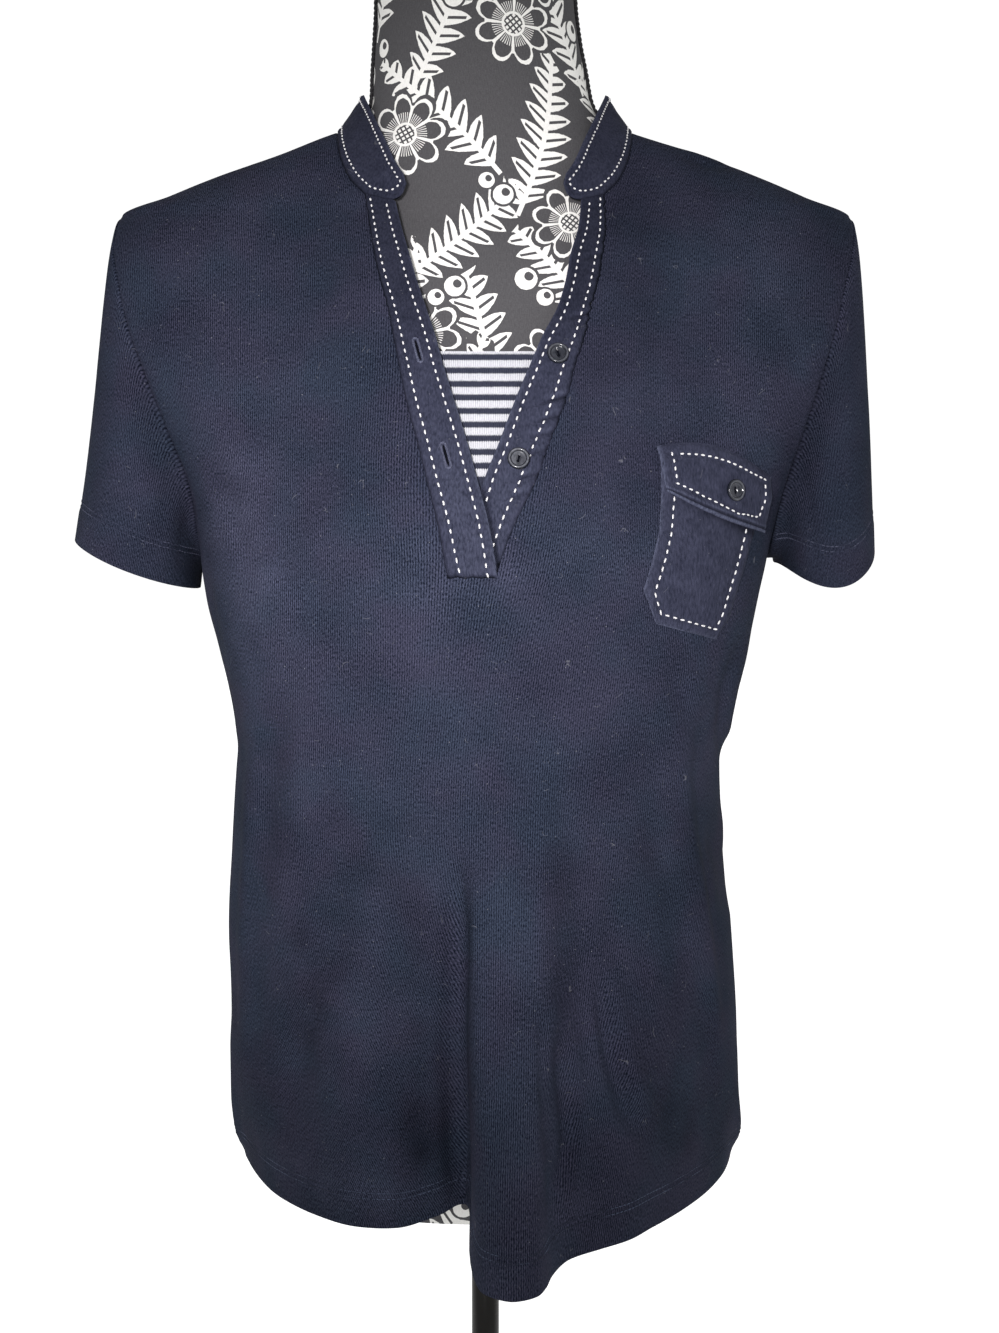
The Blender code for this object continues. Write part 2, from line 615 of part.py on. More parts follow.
def collar_stations():
    """Seam and free-edge points of the band, from the wearer's left front end round the back. Past
    the placket it takes the seam's points from the panels."""
    seams = []
    for step in range(COLLAR_END_STEPS):
        x = mix(COLLAR[0]["seam_x"], NECKLINE[0]["half_width"], step / COLLAR_END_STEPS)
        seams.append(front_point(x, read(COLLAR, "seam_z", x, "seam_x")))
    inner_column = SIDE_COLUMNS + MIDDLE_COLUMNS
    for row in range(PLACKET_ROWS, UPPER_ROWS + 1):
        seams.append(front_place(inner_column, LOWER_ROWS + row))
    seams[-1].y = 0.0
    stations = []
    for seam in seams:
        low, high = read(COLLAR, "low", seam.x, "seam_x"), read(COLLAR, "high", seam.x, "seam_x")
        edge = Vector((
            read(COLLAR, "edge_x", seam.x, "seam_x"),
            -read(COLLAR, "edge_depth", seam.x, "seam_x"),
            read(COLLAR, "edge_z", seam.x, "seam_x"),
        ))
        stations.append((seam, edge, low, high))
    mirrored = [
        (Vector((-seam.x, seam.y, seam.z)), Vector((-edge.x, edge.y, edge.z)), low, high)
        for seam, edge, low, high in reversed(stations)
    ]
    shoulder_edge = COLLAR[-1]
    for step in range(1, BACK_NECK_COLUMNS):
        turn = math.pi * step / BACK_NECK_COLUMNS
        seam = back_place(BACK_SIDE_COLUMNS + step, LOWER_ROWS + UPPER_ROWS)
        edge = Vector((
            shoulder_edge["edge_x"] * math.cos(turn),
            COLLAR_BACK_DEPTH * math.sin(turn) ** COLLAR_BACK_ROUNDING,
            mix(shoulder_edge["edge_z"], COLLAR_BACK_EDGE, math.sin(turn)),
        ))
        stations.append((seam, edge, 0.0, 1.0))
    return stations + mirrored


def collar_place(stations):
    """Rows run from the seam to the free edge; the front ends are rounded."""

    def place(column, row):
        seam, edge, low, high = stations[column]
        up = (edge - seam).normalized()
        return seam + up * SEAM_GAP + (edge - seam) * mix(low, high, row / COLLAR_ROWS)

    return place


def strip_place(side):
    """A placket strip between its seam and its free edge. The left one tucks behind the right."""
    name = side_name(side)

    def place(column, row):
        height = placket_height(row)
        seam = read(PLACKET, name + "_seam", height) - side * SEAM_GAP
        edge = read(PLACKET, name + "_edge", height)
        share = column / STRIP_COLUMNS
        x = mix(seam, edge, share) if side < 0 else mix(edge, seam, share)
        if row == 0:
            height += SEAM_GAP
        if row == PLACKET_ROWS:
            height = read(COLLAR, "seam_z", abs(x), "seam_x") - SEAM_GAP
        if side < 0:
            return front_point(x, height)
        tuck = LEFT_STRIP_TUCK * smooth((TUCK_FROM - height) / (TUCK_FROM - TUCK_TO))
        return lifted(x, height, -tuck)

    return place


def inset_place(column, row):
    """The inset lies behind both strips and is caught in their seams."""
    height = mix(INSET_FOOT, INSET_TOP, row / INSET_ROWS)
    low = read(PLACKET, "right_seam", height) + INSET_MARGIN
    high = max(read(PLACKET, "left_seam", height) - INSET_MARGIN, low + INSET_LEAST_WIDTH)
    return lifted(mix(low, high, column / INSET_COLUMNS), height, -INSET_BEHIND)


def pocket_place(rows, lift, free_lift=0.0):
    """A patch on the front panel, from its points moved out. free_lift raises the lowest row."""

    def place(column, row):
        edge, share = rows[row], column / POCKET_COLUMNS
        x = mix(edge["right_x"], edge["left_x"], share)
        z = mix(edge["right_z"], edge["left_z"], share)
        z += edge.get("bulge", 0.0) * math.sin(math.pi * share)
        return lifted(x, z, lift + free_lift * (1 - row / (len(rows) - 1)) ** 2)

    return place


def build_cloth(finish):
    knit, woven = finish["knit"], finish["woven"]
    front_columns = 2 * SIDE_COLUMNS + MIDDLE_COLUMNS
    all_rows = LOWER_ROWS + UPPER_ROWS
    cloth(
        "front_panel", front_columns, all_rows, front_place, KNIT_WALL, knit,
        keep=front_keep, turn_wall=front_wall,
    )
    back_columns = 2 * BACK_SIDE_COLUMNS + BACK_NECK_COLUMNS
    cloth("back_panel", back_columns, all_rows, back_place, KNIT_WALL, knit, turn_wall=back_wall)
    for side, name in ((-1, "sleeve_right"), (1, "sleeve_left")):
        cloth(
            name, 2 * UPPER_ROWS, SLEEVE_RINGS, sleeve_place(side), KNIT_WALL, knit, ring=True,
            flip=side < 0,
            turn_wall=lambda column, row, normal, side=side: (
                normal if row else armhole_frame(side, sleeve_turn(column))[1]
            ),
        )
    stations = collar_stations()
    cloth("neckband", len(stations) - 1, COLLAR_ROWS, collar_place(stations), WOVEN_WALL, woven)
    cloth("placket_right", STRIP_COLUMNS, PLACKET_ROWS, strip_place(-1), STRIP_WALL, woven)
    cloth("placket_left", STRIP_COLUMNS, PLACKET_ROWS, strip_place(1), STRIP_WALL, woven)
    cloth("striped_inset", INSET_COLUMNS, INSET_ROWS, inset_place, INSET_WALL, finish["stripe"])
    pocket = pocket_place(POCKET, POCKET_LIFT + WOVEN_WALL)
    cloth("pocket", POCKET_COLUMNS, len(POCKET) - 1, pocket, WOVEN_WALL, woven)
    flap = pocket_place(FLAP, FLAP_LIFT + WOVEN_WALL, FLAP_FREE_LIFT)
    cloth("pocket_flap", POCKET_COLUMNS, len(FLAP) - 1, flap, WOVEN_WALL, woven)


def build_buttons(finish):
    for button in BUTTONS:
        normal = front_normal(button["x"], button["z"])
        seat = lifted(button["x"], button["z"], button["lift"])
        turn = normal.to_track_quat("Z", "Y")
        turned(
            button["name"], BUTTON_PROFILE, lambda co, s=seat, q=turn: s + q @ co, 16, finish["button"]
        )


def build_form(finish):
    """The limbless form, closed at the hip and at the top of the neck."""
    body = bmesh.new()
    rows = len(FORM) - 1
    bmesh.ops.create_grid(body, x_segments=FORM_SIDES, y_segments=rows, size=0.5)
    for vert in body.verts:
        column, row = round((vert.co.x + 0.5) * FORM_SIDES), round((vert.co.y + 0.5) * rows)
        level = FORM[row]
        turn = math.tau * (column % FORM_SIDES) / FORM_SIDES
        power = 2 / level["corner"]
        x = level["half_width"] * math.copysign(abs(math.cos(turn)) ** power, math.cos(turn))
        depth = level["back"] if math.sin(turn) > 0 else level["front"]
        y = depth * math.copysign(abs(math.sin(turn)) ** power, math.sin(turn))
        vert.co = (level["middle"] + x, y, level["height"])
    bmesh.ops.remove_doubles(body, verts=body.verts, dist=WELD)
    bmesh.ops.holes_fill(body, edges=[edge for edge in body.edges if edge.is_boundary])
    bmesh.ops.recalc_face_normals(body, faces=body.faces)
    add_object("dress_form", body, finish["cover"])


def build_stand(finish):
    metal = finish["metal"]
    cap = table("radius height", (
        (NECK_CAP_RADIUS, 0.0), (NECK_CAP_RADIUS, NECK_CAP_HEIGHT - NECK_CAP_BEVEL),
        (NECK_CAP_RADIUS - NECK_CAP_BEVEL, NECK_CAP_HEIGHT),
    ))
    cap_base = Vector((*NECK_AXIS, FORM_TOP + SEAM_GAP))
    turned("neck_cap", cap, lambda co: cap_base + co, 24, metal)
    foot = table("radius height", (
        (FOOT_RADIUS - 1, 0.0), (FOOT_RADIUS, 1.2), (FOOT_RADIUS - 2, FOOT_RIM),
        (2 * SOCKET_RADIUS, FOOT_MIDDLE),
    ))
    turned("stand_foot", foot, lambda co: co.copy(), 32, metal)
    socket_base = FOOT_MIDDLE + SEAM_GAP
    socket_top = socket_base + SOCKET_HEIGHT
    socket = table("radius height", (
        (SOCKET_RADIUS, socket_base), (SOCKET_RADIUS, socket_base + 4),
        (SOCKET_RADIUS - 7, socket_top - 3), (SOCKET_RADIUS - 9, socket_top),
    ))
    turned("pole_socket", socket, lambda co: co.copy(), 20, metal)
    pole = table("radius height", (
        (POLE_RADIUS, socket_top + SEAM_GAP), (POLE_RADIUS, FORM_FOOT - SEAM_GAP),
    ))
    turned("pole", pole, lambda co: co.copy(), 16, metal)


def main():
    clear_scene()
    finish = {
        "knit": material("navy_knit", (0.016, 0.020, 0.036), 0.85),
        "woven": material("navy_woven", (0.018, 0.024, 0.043), 0.8),
        "stripe": material("striped_knit", (0.45, 0.47, 0.52), 0.85),
        "button": material("dark_button", (0.010, 0.012, 0.018), 0.25),
        "cover": material("form_cover", (0.035, 0.035, 0.034), 0.9),
        "metal": material("black_metal", (0.012, 0.011, 0.010), 0.35, 0.6),
    }
    build_cloth(finish)
    build_buttons(finish)
    build_form(finish)
    build_stand(finish)


main()
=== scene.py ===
import bisect
import math
import random

import bmesh
import bpy
from mathutils import Matrix, Vector, noise
from mathutils.bvhtree import BVHTree


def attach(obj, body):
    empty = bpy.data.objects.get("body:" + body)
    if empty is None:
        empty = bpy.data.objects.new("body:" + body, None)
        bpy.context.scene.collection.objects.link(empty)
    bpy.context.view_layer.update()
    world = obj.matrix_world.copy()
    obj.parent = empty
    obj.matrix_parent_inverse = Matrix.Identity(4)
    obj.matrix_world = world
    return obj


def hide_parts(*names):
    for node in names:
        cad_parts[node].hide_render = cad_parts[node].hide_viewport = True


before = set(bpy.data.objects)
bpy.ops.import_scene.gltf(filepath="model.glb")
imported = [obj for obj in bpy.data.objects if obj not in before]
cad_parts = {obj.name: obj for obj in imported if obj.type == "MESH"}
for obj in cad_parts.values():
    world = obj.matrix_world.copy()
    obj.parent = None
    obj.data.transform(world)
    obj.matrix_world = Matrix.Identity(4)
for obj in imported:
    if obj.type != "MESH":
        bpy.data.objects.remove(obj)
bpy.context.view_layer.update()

# Sizes are in millimetres unless a name says otherwise; meshes are scaled to metres when they are
# finished. +Z is up, the chest faces -Y and the wearer's left is +X.
mm = 0.001
weld = 1e-4
random.seed(7)


def smooth(share):
    share = max(0.0, min(1.0, share))
    return share * share * (3 - 2 * share)


def mix(a, b, share):
    return a + (b - a) * share


def bell(distance, width):
    return math.exp(-((distance / width) ** 2))


def table(columns, rows):
    names = columns.split()
    return [dict(zip(names, row)) for row in rows]


def runningLengths(line):
    # how far along a line each of its points is
    sums = [0.0]
    for a, b in zip(line, line[1:]):
        sums.append(sums[-1] + (b - a).length)
    return sums


def gridKeys(verts, columns, rows):
    # column and row of each point of a new grid
    return {v: (round((v.co.x + 0.5) * columns), round((v.co.y + 0.5) * rows)) for v in verts}


curves = {}


def curveOf(rows, column, key):
    # places, values and slopes of one column, worked out once
    name = (id(rows), column, key)
    if name not in curves:
        places = [row[key] for row in rows]
        values = [row[column] for row in rows]
        steps = [b - a for a, b in zip(places, places[1:])]
        climbs = [(b - a) / step for a, b, step in zip(values, values[1:], steps)]
        slopes = [climbs[0]]
        for before, after in zip(climbs, climbs[1:]):
            slopes.append(2 * before * after / (before + after) if before * after > 0 else 0.0)
        slopes.append(climbs[-1])
        curves[name] = places, values, slopes
    return curves[name]


def read(rows, column, at, key="height"):
    places, values, slopes = curveOf(rows, column, key)
    if at <= places[0]:
        return values[0]
    if at >= places[-1]:
        return values[-1]
    low = bisect.bisect_right(places, at) - 1
    step = places[low + 1] - places[low]
    t = (at - places[low]) / step
    bend = (2 * t**3 - 3 * t**2 + 1) * values[low] + (t**3 - 2 * t**2 + t) * slopes[low] * step
    return bend + (3 * t**2 - 2 * t**3) * values[low + 1] + (t**3 - t**2) * slopes[low + 1] * step


# The shirt's form, the same as its solids', on finer grids.
shirt = {
    "hem": 610, "underarm": 959, "shoulder": 1150, "neckSide": 1197, "neckBack": 1183,
    "neckHalfWidth": 82.4, "placketFoot": 951, "placketTop": 1154.7, "hangPower": 1.35,
    "armholeFront": 53, "armholeBack": 60, "gap": 0.3, "wall": 1.5,
    "lowerRows": 117, "placketRows": 72, "necklineRows": 40, "sideColumns": 84, "middleColumns": 40,
    "middleHemAngles": {-1: -5, 1: 14}, "crowding": {-1: 1.15, 1: 1.3},
    "backSideColumns": 56, "backNeckColumns": 64, "backNeckSpread": 1.12,
    "hemDepth": 16.5, "hemRaise": 0.5,
}
upperRows = shirt["placketRows"] + shirt["necklineRows"]
allRows = shirt["lowerRows"] + upperRows
armholeMiddle = (shirt["underarm"] + shirt["shoulder"]) / 2
armholeHalf = (shirt["shoulder"] - shirt["underarm"]) / 2

# half widths down to the wearer's right and left
outlines = table("height right left", (
    (610, 141, 144), (630, 146, 149), (655, 147, 147), (680, 147, 145.5), (703, 146, 144.5),
    (727, 146, 143), (750, 146.2, 141.3), (773, 145.3, 139), (796, 143.6, 136.6), (819, 142.3, 134.2),
    (842, 140.6, 133.4), (854, 139.6, 135), (866, 141, 138.3), (888, 145, 143.8), (911, 149.8, 148.5),
    (940, 156.2, 154.4), (959, 159.5, 158.5), (991, 161.5, 164), (1034, 175, 176), (1060, 185, 184),
    (1084, 193.5, 191), (1110, 200, 197.5), (1130, 204, 203), (1150, 204.5, 206.3),
    (1160.5, 178.8, 181.8), (1171.6, 151.5, 155.5), (1182.7, 120, 127), (1193.8, 92, 91.5),
    (1197, 82.4, 82.4),
))
depths = table("height front back corner", (
    (610, 118, 112, 2.1), (660, 119, 109, 2.3), (700, 121, 106, 2.4), (800, 126, 98, 2.5),
    (850, 128, 98, 2.6), (900, 130, 101, 2.75), (950, 128, 106, 2.7), (1000, 118, 108, 2.5),
    (1050, 102.5, 109, 2.4), (1100, 83.5, 105, 2.3), (1130, 71, 100, 2.25), (1150, 60, 94, 2.2),
    (1165, 52.5, 88, 2.2), (1180, 44, 81, 2.2), (1197, 34, 74, 2.2),
))
placket = table("height rightSeam rightEdge leftEdge leftSeam", (
    (951, -18.8, 6.4, -14, 5.6), (963, -21.1, 4.7, -11, 9.4), (977, -23.6, 2.2, -7.4, 14.9),
    (1000, -29.4, -3.6, -0.9, 26.2), (1020, -34.4, -9, 7.2, 33.4), (1045, -41.1, -16.7, 16.8, 42.6),
    (1062, -44.6, -21.9, 24, 47), (1076, -47.4, -25.7, 30, 51.9), (1092, -50.7, -31, 38.3, 55.5),
    (1106, -54.6, -35.7, 42.5, 59.5), (1120, -58, -39.7, 45.2, 62.1), (1137, -61, -44.6, 50, 64.2),
    (1154.7, -64, -48.8, 52, 64),
))
neckline = table("share halfWidth height", (
    (0, 64, 1154.7), (0.25, 73, 1164.7), (0.6, 79, 1179), (1, 82.4, 1197),
))
frontHem = table("angle x y z top", (
    (-90, -141, 0, 610, 611), (-72, -134, -26, 611.5, 680), (-55, -117, -68, 611, 700),
    (-40, -91, -101, 610, 740), (-28, -68, -119, 610, 780), (-18, -46, -124, 611, 800),
    (-10, -25, -120, 616, 820), (-5, -11, -115, 620, 840), (-3.6, -8.2, -125, 618, 840),
    (-2.4, -8, -150, 612, 840), (-1, -5.5, -177, 606, 845), (1.2, -0.5, -194, 604, 850),
    (4.5, 13, -204, 604, 860), (8, 24.7, -198, 604, 860), (10.5, 29.5, -187, 604, 850),
    (13, 33, -173, 604.5, 830), (17, 42, -156, 606, 800), (22, 57, -148, 608, 830),
    (29, 74.3, -136.5, 609, 840), (36, 88, -120.5, 610, 820), (45, 105, -97, 610, 760),
    (56, 122, -68, 610, 720), (70, 136, -36, 611.5, 680), (90, 144, 0, 610, 611),
))
frontFolds = table("topAngle top lowAngle low full rise before after", (
    (40, 925, 62, 640, 0.5, 5, 14, 7), (20, 840, 30, 640, 0.5, -4, 6, 6),
    (-9, 790, -8, 625, 0.6, -6, 14, 5), (-32, 790, -30, 625, 0.6, 4, 12, 12),
    (-55, 930, -64, 640, 0.5, 4, 9, 9),
))
backFolds = table("topAngle top lowAngle low full rise before after", (
    (-58, 840, -50, 600, 1, 13, 14, 14), (-18, 880, -22, 600, 1, 9, 12, 12),
    (14, 860, 10, 600, 1, 15, 13, 15), (46, 860, 52, 600, 1, 11, 14, 12),
    (0, 930, 0, 700, 0.5, -4, 26, 26),
))

# Small creases: x and z from the front, how deep, how wide, and how much of it stands
# up again as a ridge on its outer side, or with a minus on its inner side.
frontCreases = table("path depth width ridge", (
    (((28, 738), (30, 700), (34, 655), (33, 628)), 2.2, 3.4, 0.5),
    (((37, 722), (41, 682), (42, 662), (37, 640), (36, 618)), 4.4, 4, 0.6),
    (((56, 750), (65, 702), (73, 675), (84, 655)), 4.2, 4.6, 0.7),
    (((70, 800), (76, 755), (86, 712)), 1.8, 8, 0.5),
    (((-102, 895), (-112, 850), (-119, 800)), 1.8, 8, 0.5),
    (((-88, 745), (-98, 700), (-102, 660)), 2.2, 8, 0.5),
    (((-14, 800), (-17, 720), (-16, 680), (-14, 614)), 6.5, 6.5, -0.25),
    (((-34, 850), (-42, 770), (-44, 690), (-40, 640)), 4.2, 13, 0.3),
    (((16, 830), (20, 770), (22, 700)), 1.2, 8, 0.3),
    (((-150, 950), (-146, 915), (-138, 868)), 1.4, 3.2, 0.8),
    (((139, 918), (128, 890), (127, 870), (132, 846)), 2, 3.4, 0.8),
    (((122, 815), (132, 790), (137, 760)), 3.2, 6, 0.4),
    (((146, 1012), (130, 994), (112, 955)), 1.6, 6.5, 0.6),
    (((-148, 1016), (-136, 990), (-124, 955)), 1.4, 6, 0.6),
    (((108, 1181), (122, 1175), (140, 1176)), 1.2, 3, 0.9),
    (((84, 1128), (106, 1090), (128, 1050)), 1, 12, 0.2),
    (((-92, 1120), (-112, 1080), (-134, 1040)), 0.9, 12, 0.2),
    (((96, 905), (104, 880), (116, 862)), 1.4, 5.5, 0.6),
    (((-124, 815), (-130, 765), (-130, 720)), 1.5, 7, 0.5),
    (((112, 742), (121, 700), (124, 664)), 1.8, 6, 0.5),
))
backCreases = table("path depth width ridge", (
    (((-92, 760), (-98, 705), (-104, 640)), 3.2, 5, 0.6),
    (((96, 770), (88, 715), (84, 645)), 3, 5, 0.6),
    (((-30, 720), (-34, 680), (-33, 622)), 2.6, 4.5, 0.5),
    (((36, 730), (42, 690), (40, 630)), 2.6, 4.5, 0.5),
    (((-140, 905), (-118, 880), (-90, 868)), 2, 5, 0.7),
    (((140, 900), (116, 872), (84, 862)), 1.9, 5, 0.7),
    (((-120, 862), (-92, 846), (-60, 842)), 1.4, 5, 0.6),
    (((118, 850), (92, 836), (56, 832)), 1.4, 5, 0.6),
    (((-134, 1010), (-118, 985), (-106, 950)), 1.4, 6, 0.5),
    (((136, 1008), (120, 982), (106, 948)), 1.4, 6, 0.5),
    (((-60, 1150), (-86, 1120), (-110, 1075)), 1, 10, 0.3),
    (((62, 1150), (86, 1118), (112, 1072)), 1, 10, 0.3),
))


def outline(side, height):
    return read(outlines, "right" if side < 0 else "left", height)


def armholeReach(face, height):
    if not shirt["underarm"] < height < shirt["shoulder"]:
        return 0.0
    reach = shirt["armholeFront"] if face < 0 else shirt["armholeBack"]
    return reach * math.sqrt(1 - ((height - armholeMiddle) / armholeHalf) ** 2)


def section(side, face, height):
    depth = read(depths, "front" if face < 0 else "back", height)
    corner = read(depths, "corner", height)
    leftOver = 1 - (armholeReach(face, height) / depth) ** corner
    return outline(side, height) / leftOver ** (1 / corner), depth, corner


def angleAt(side, face, x, height):
    width, _, corner = section(side, face, height)
    return math.degrees(math.asin(min(1.0, abs(x) / width) ** (corner / 2)))


def signedAngle(x, height):
    side = -1 if x < 0 else 1
    return side * angleAt(side, -1, x, height)


def foldRise(face, angle, height):
    out = 0.0
    for fold in frontFolds if face < 0 else backFolds:
        down = (fold["top"] - height) / (fold["top"] - fold["low"])
        if not 0 < down <= 1:
            continue
        full = fold["full"]
        strength = smooth(down / full) if down < full else smooth((1 - down) / (1 - full))
        off = angle - mix(fold["topAngle"], fold["lowAngle"], down)
        share = -off / fold["before"] if off < 0 else off / fold["after"]
        out += fold["rise"] * strength * math.cos(min(1.0, share) * math.pi / 2) ** 2
    return out


def panelPoint(face, angle, height):
    # the body's outer surface; angle runs from -90 at the wearer's right to 90 at the left
    side = -1 if angle < 0 else 1
    width, depth, corner = section(side, face, height)
    turn = math.radians(abs(angle))
    x = side * width * math.sin(turn) ** (2 / corner)
    y = face * depth * max(0.0, math.cos(turn)) ** (2 / corner)
    away = Vector((x / width**2, y / depth**2, 0)).normalized()
    point = Vector((x, y, height)) + away * foldRise(face, angle, height)
    if face < 0:
        top = read(frontHem, "top", angle, "angle")
        if height < top:
            hang = ((top - height) / (top - shirt["hem"])) ** shirt["hangPower"]
            hem = [read(frontHem, axis, angle, "angle") for axis in "xyz"]
            point = point.lerp(Vector((hem[0], hem[1], height + hem[2] - shirt["hem"])), hang)
    return point


def frontPoint(x, height):
    return panelPoint(-1, signedAngle(x, height), height)


def frontNormal(x, height):
    across = frontPoint(x + 1, height) - frontPoint(x - 1, height)
    upwards = frontPoint(x, height + 1) - frontPoint(x, height - 1)
    return across.cross(upwards).normalized()


def lifted(x, height, distance):
    return frontPoint(x, height) + frontNormal(x, height) * distance


ribs = {"plumbAngle": 4.5, "heightStep": 12, "steps": 120, "closer": 1.7}
ribLengths = {}


def ribLength(face, angle, height):
    # how far round the cloth a point is from the plumb line, along its level
    def spotAt(angle):
        share = math.copysign((abs(angle) / 90) ** (1 / ribs["closer"]), angle)
        return (share + 1) * ribs["steps"] / 2

    step = ribs["heightStep"]
    low = math.floor(height / step)
    found = []
    for level in (low, low + 1):
        if (face, level) not in ribLengths:
            levelHeight = max(shirt["hem"], min(level * step, shirt["neckSide"]))
            shares = [2 * i / ribs["steps"] - 1 for i in range(ribs["steps"] + 1)]
            angles = [90 * math.copysign(abs(share) ** ribs["closer"], share) for share in shares]
            sums = runningLengths([panelPoint(face, angle, levelHeight) for angle in angles])
            plumb = spotAt(ribs["plumbAngle"])
            start = mix(sums[int(plumb)], sums[int(plumb) + 1], plumb % 1)
            ribLengths[face, level] = [value - start for value in sums]
        sums = ribLengths[face, level]
        at = min(max(spotAt(angle), 0.0), len(sums) - 1.001)
        found.append(mix(sums[int(at)], sums[int(at) + 1], at % 1))
    return mix(found[0], found[1], height / step - low)


def nearPath(path, x, z):
    # signed distance from a crease's line, and the share of the way along it
    best, lengths = None, []
    for (ax, az), (bx, bz) in zip(path, path[1:]):
        lengths.append(math.hypot(bx - ax, bz - az))
    total, before = sum(lengths), 0.0
    for (a, b), length in zip(zip(path, path[1:]), lengths):
        along = ((x - a[0]) * (b[0] - a[0]) + (z - a[1]) * (b[1] - a[1])) / length
        off = ((x - a[0]) * (b[1] - a[1]) - (z - a[1]) * (b[0] - a[0])) / length
        clamped = max(0.0, min(length, along))
        far = math.hypot(along - clamped, off)
        if best is None or far < abs(best[0]):
            best = (math.copysign(far, off), (before + along) / total)
        before += length
    return best


# in shares of a crease's length or of its width
creaseShape = {
    "beyond": 0.1, "taper": 0.35, "endReach": 3, "sideReach": 3.5, "ridgeAt": 1.9, "ridgeWidth": 1.2,
}


def creaseDepth(creases, x, z):
    out = 0.0
    beyond, taper = creaseShape["beyond"], creaseShape["taper"]
    for crease in creases:
        path, width = crease["path"], crease["width"]
        past = creaseShape["endReach"] * width
        if not path[-1][1] - past < z < path[0][1] + past:
            continue
        off, share = nearPath(path, x, z)
        if abs(off) > creaseShape["sideReach"] * width:
            continue
        strength = smooth((share + beyond) / taper) * smooth((1 + beyond - share) / taper) * crease["depth"]
        outer = -off if (path[0][0] > 0) == (crease["ridge"] > 0) else off
        ridge = bell(outer - creaseShape["ridgeAt"] * width, creaseShape["ridgeWidth"] * width)
        out -= strength * (bell(off, width) - abs(crease["ridge"]) * ridge)
    return out


waves = table("wide high depth start", ((42, 75, 0.5, 0), (13, 22, 0.12, 9)))


def softWaves(point, seed):
    # the slight unevenness of worn knit
    out = 0.0
    for wave in waves:
        spot = Vector((point.x / wave["wide"], point.z / wave["high"], seed + wave["start"]))
        out += wave["depth"] * noise.noise(spot)
    return out


trees = {}
slots = {"knit": "navy_knit", "woven": "navy_woven", "stripe": "striped_knit"}


def finishMesh(name, body, look, slot, sharp=40):
    bmesh.ops.scale(body, vec=(mm, mm, mm), verts=body.verts)
    mesh = bpy.data.meshes.new(name)
    body.to_mesh(mesh)
    body.free()
    mesh.shade_smooth()
    mesh.set_sharp_from_angle(angle=math.radians(sharp))
    mesh.materials.append(look)
    piece = bpy.data.objects.new(name, mesh)
    bpy.context.scene.collection.objects.link(piece)
    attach(piece, "root")
    return piece


def cloth(name, columns, rows, place, look, wall, keep=None, ring=False, flip=False,
          turnWall=None, relief=None, seamCells=None, spread=None, wear=None):
    # a wall of cloth: a grid laid on place(column, row), raised by relief, given its inner side
    seamDips, rising, noSeam = (0.75, 0.28, 0.06), 5, 99
    sheet = bmesh.new()
    inwards = sheet.verts.layers.float_vector.new("inwards")
    # this attribute holds real wear together with painted light: below zero it darkens, mostly painted shade,
    # and above zero it pales, partly worn and partly painted light
    worn = sheet.verts.layers.float.new("wear")
    flat = sheet.loops.layers.uv.new("cloth")
    bmesh.ops.create_grid(sheet, x_segments=columns, y_segments=rows, size=0.5)
    if keep:
        gone = []
        for face in sheet.faces:
            middle = face.calc_center_median()
            if not keep(int((middle.x + 0.5) * columns), int((middle.y + 0.5) * rows)):
                gone.append(face)
        bmesh.ops.delete(sheet, geom=gone, context="FACES")
    keys = gridKeys(sheet.verts, columns, rows)
    for vert, key in keys.items():
        vert.co = place(*key)
    if spread:
        spots = {vert: spread(*key, vert.co) for vert, key in keys.items()}
        for face in sheet.faces:
            for loop in face.loops:
                loop[flat].uv = spots[loop.vert]
    if ring:
        bmesh.ops.remove_doubles(sheet, verts=sheet.verts, dist=weld)
    if flip:
        bmesh.ops.reverse_faces(sheet, faces=sheet.faces)
    sheet.normal_update()
    moves = {}
    for vert in sheet.verts:
        column, row = keys[vert]
        cells = seamCells(column, row) if seamCells else noSeam
        move = vert.normal * (relief(column, row, vert.co) * smooth(cells / rising)) if relief else Vector()
        if cells < len(seamDips):
            shared = turnWall(column, row, vert.normal) if turnWall else vert.normal
            move = move - shared * seamDips[cells]
        moves[vert] = move
        if wear:
            vert[worn] = wear(column, row, vert.co)
    for vert, move in moves.items():
        vert.co += move
    sheet.normal_update()
    for vert in sheet.verts:
        direction = turnWall(*keys[vert], vert.normal) if turnWall else vert.normal
        vert[inwards] = -wall * direction
    trees[name] = BVHTree.FromBMesh(sheet)
    made = bmesh.ops.extrude_face_region(sheet, geom=sheet.faces[:], use_keep_orig=True)["geom"]
    for vert in made:
        if isinstance(vert, bmesh.types.BMVert):
            vert.co += vert[inwards]
    bmesh.ops.recalc_face_normals(sheet, faces=sheet.faces)
    piece = finishMesh(name, sheet, looks[look], slots[look])
    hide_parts(name.replace("_cloth", ""))
    return piece


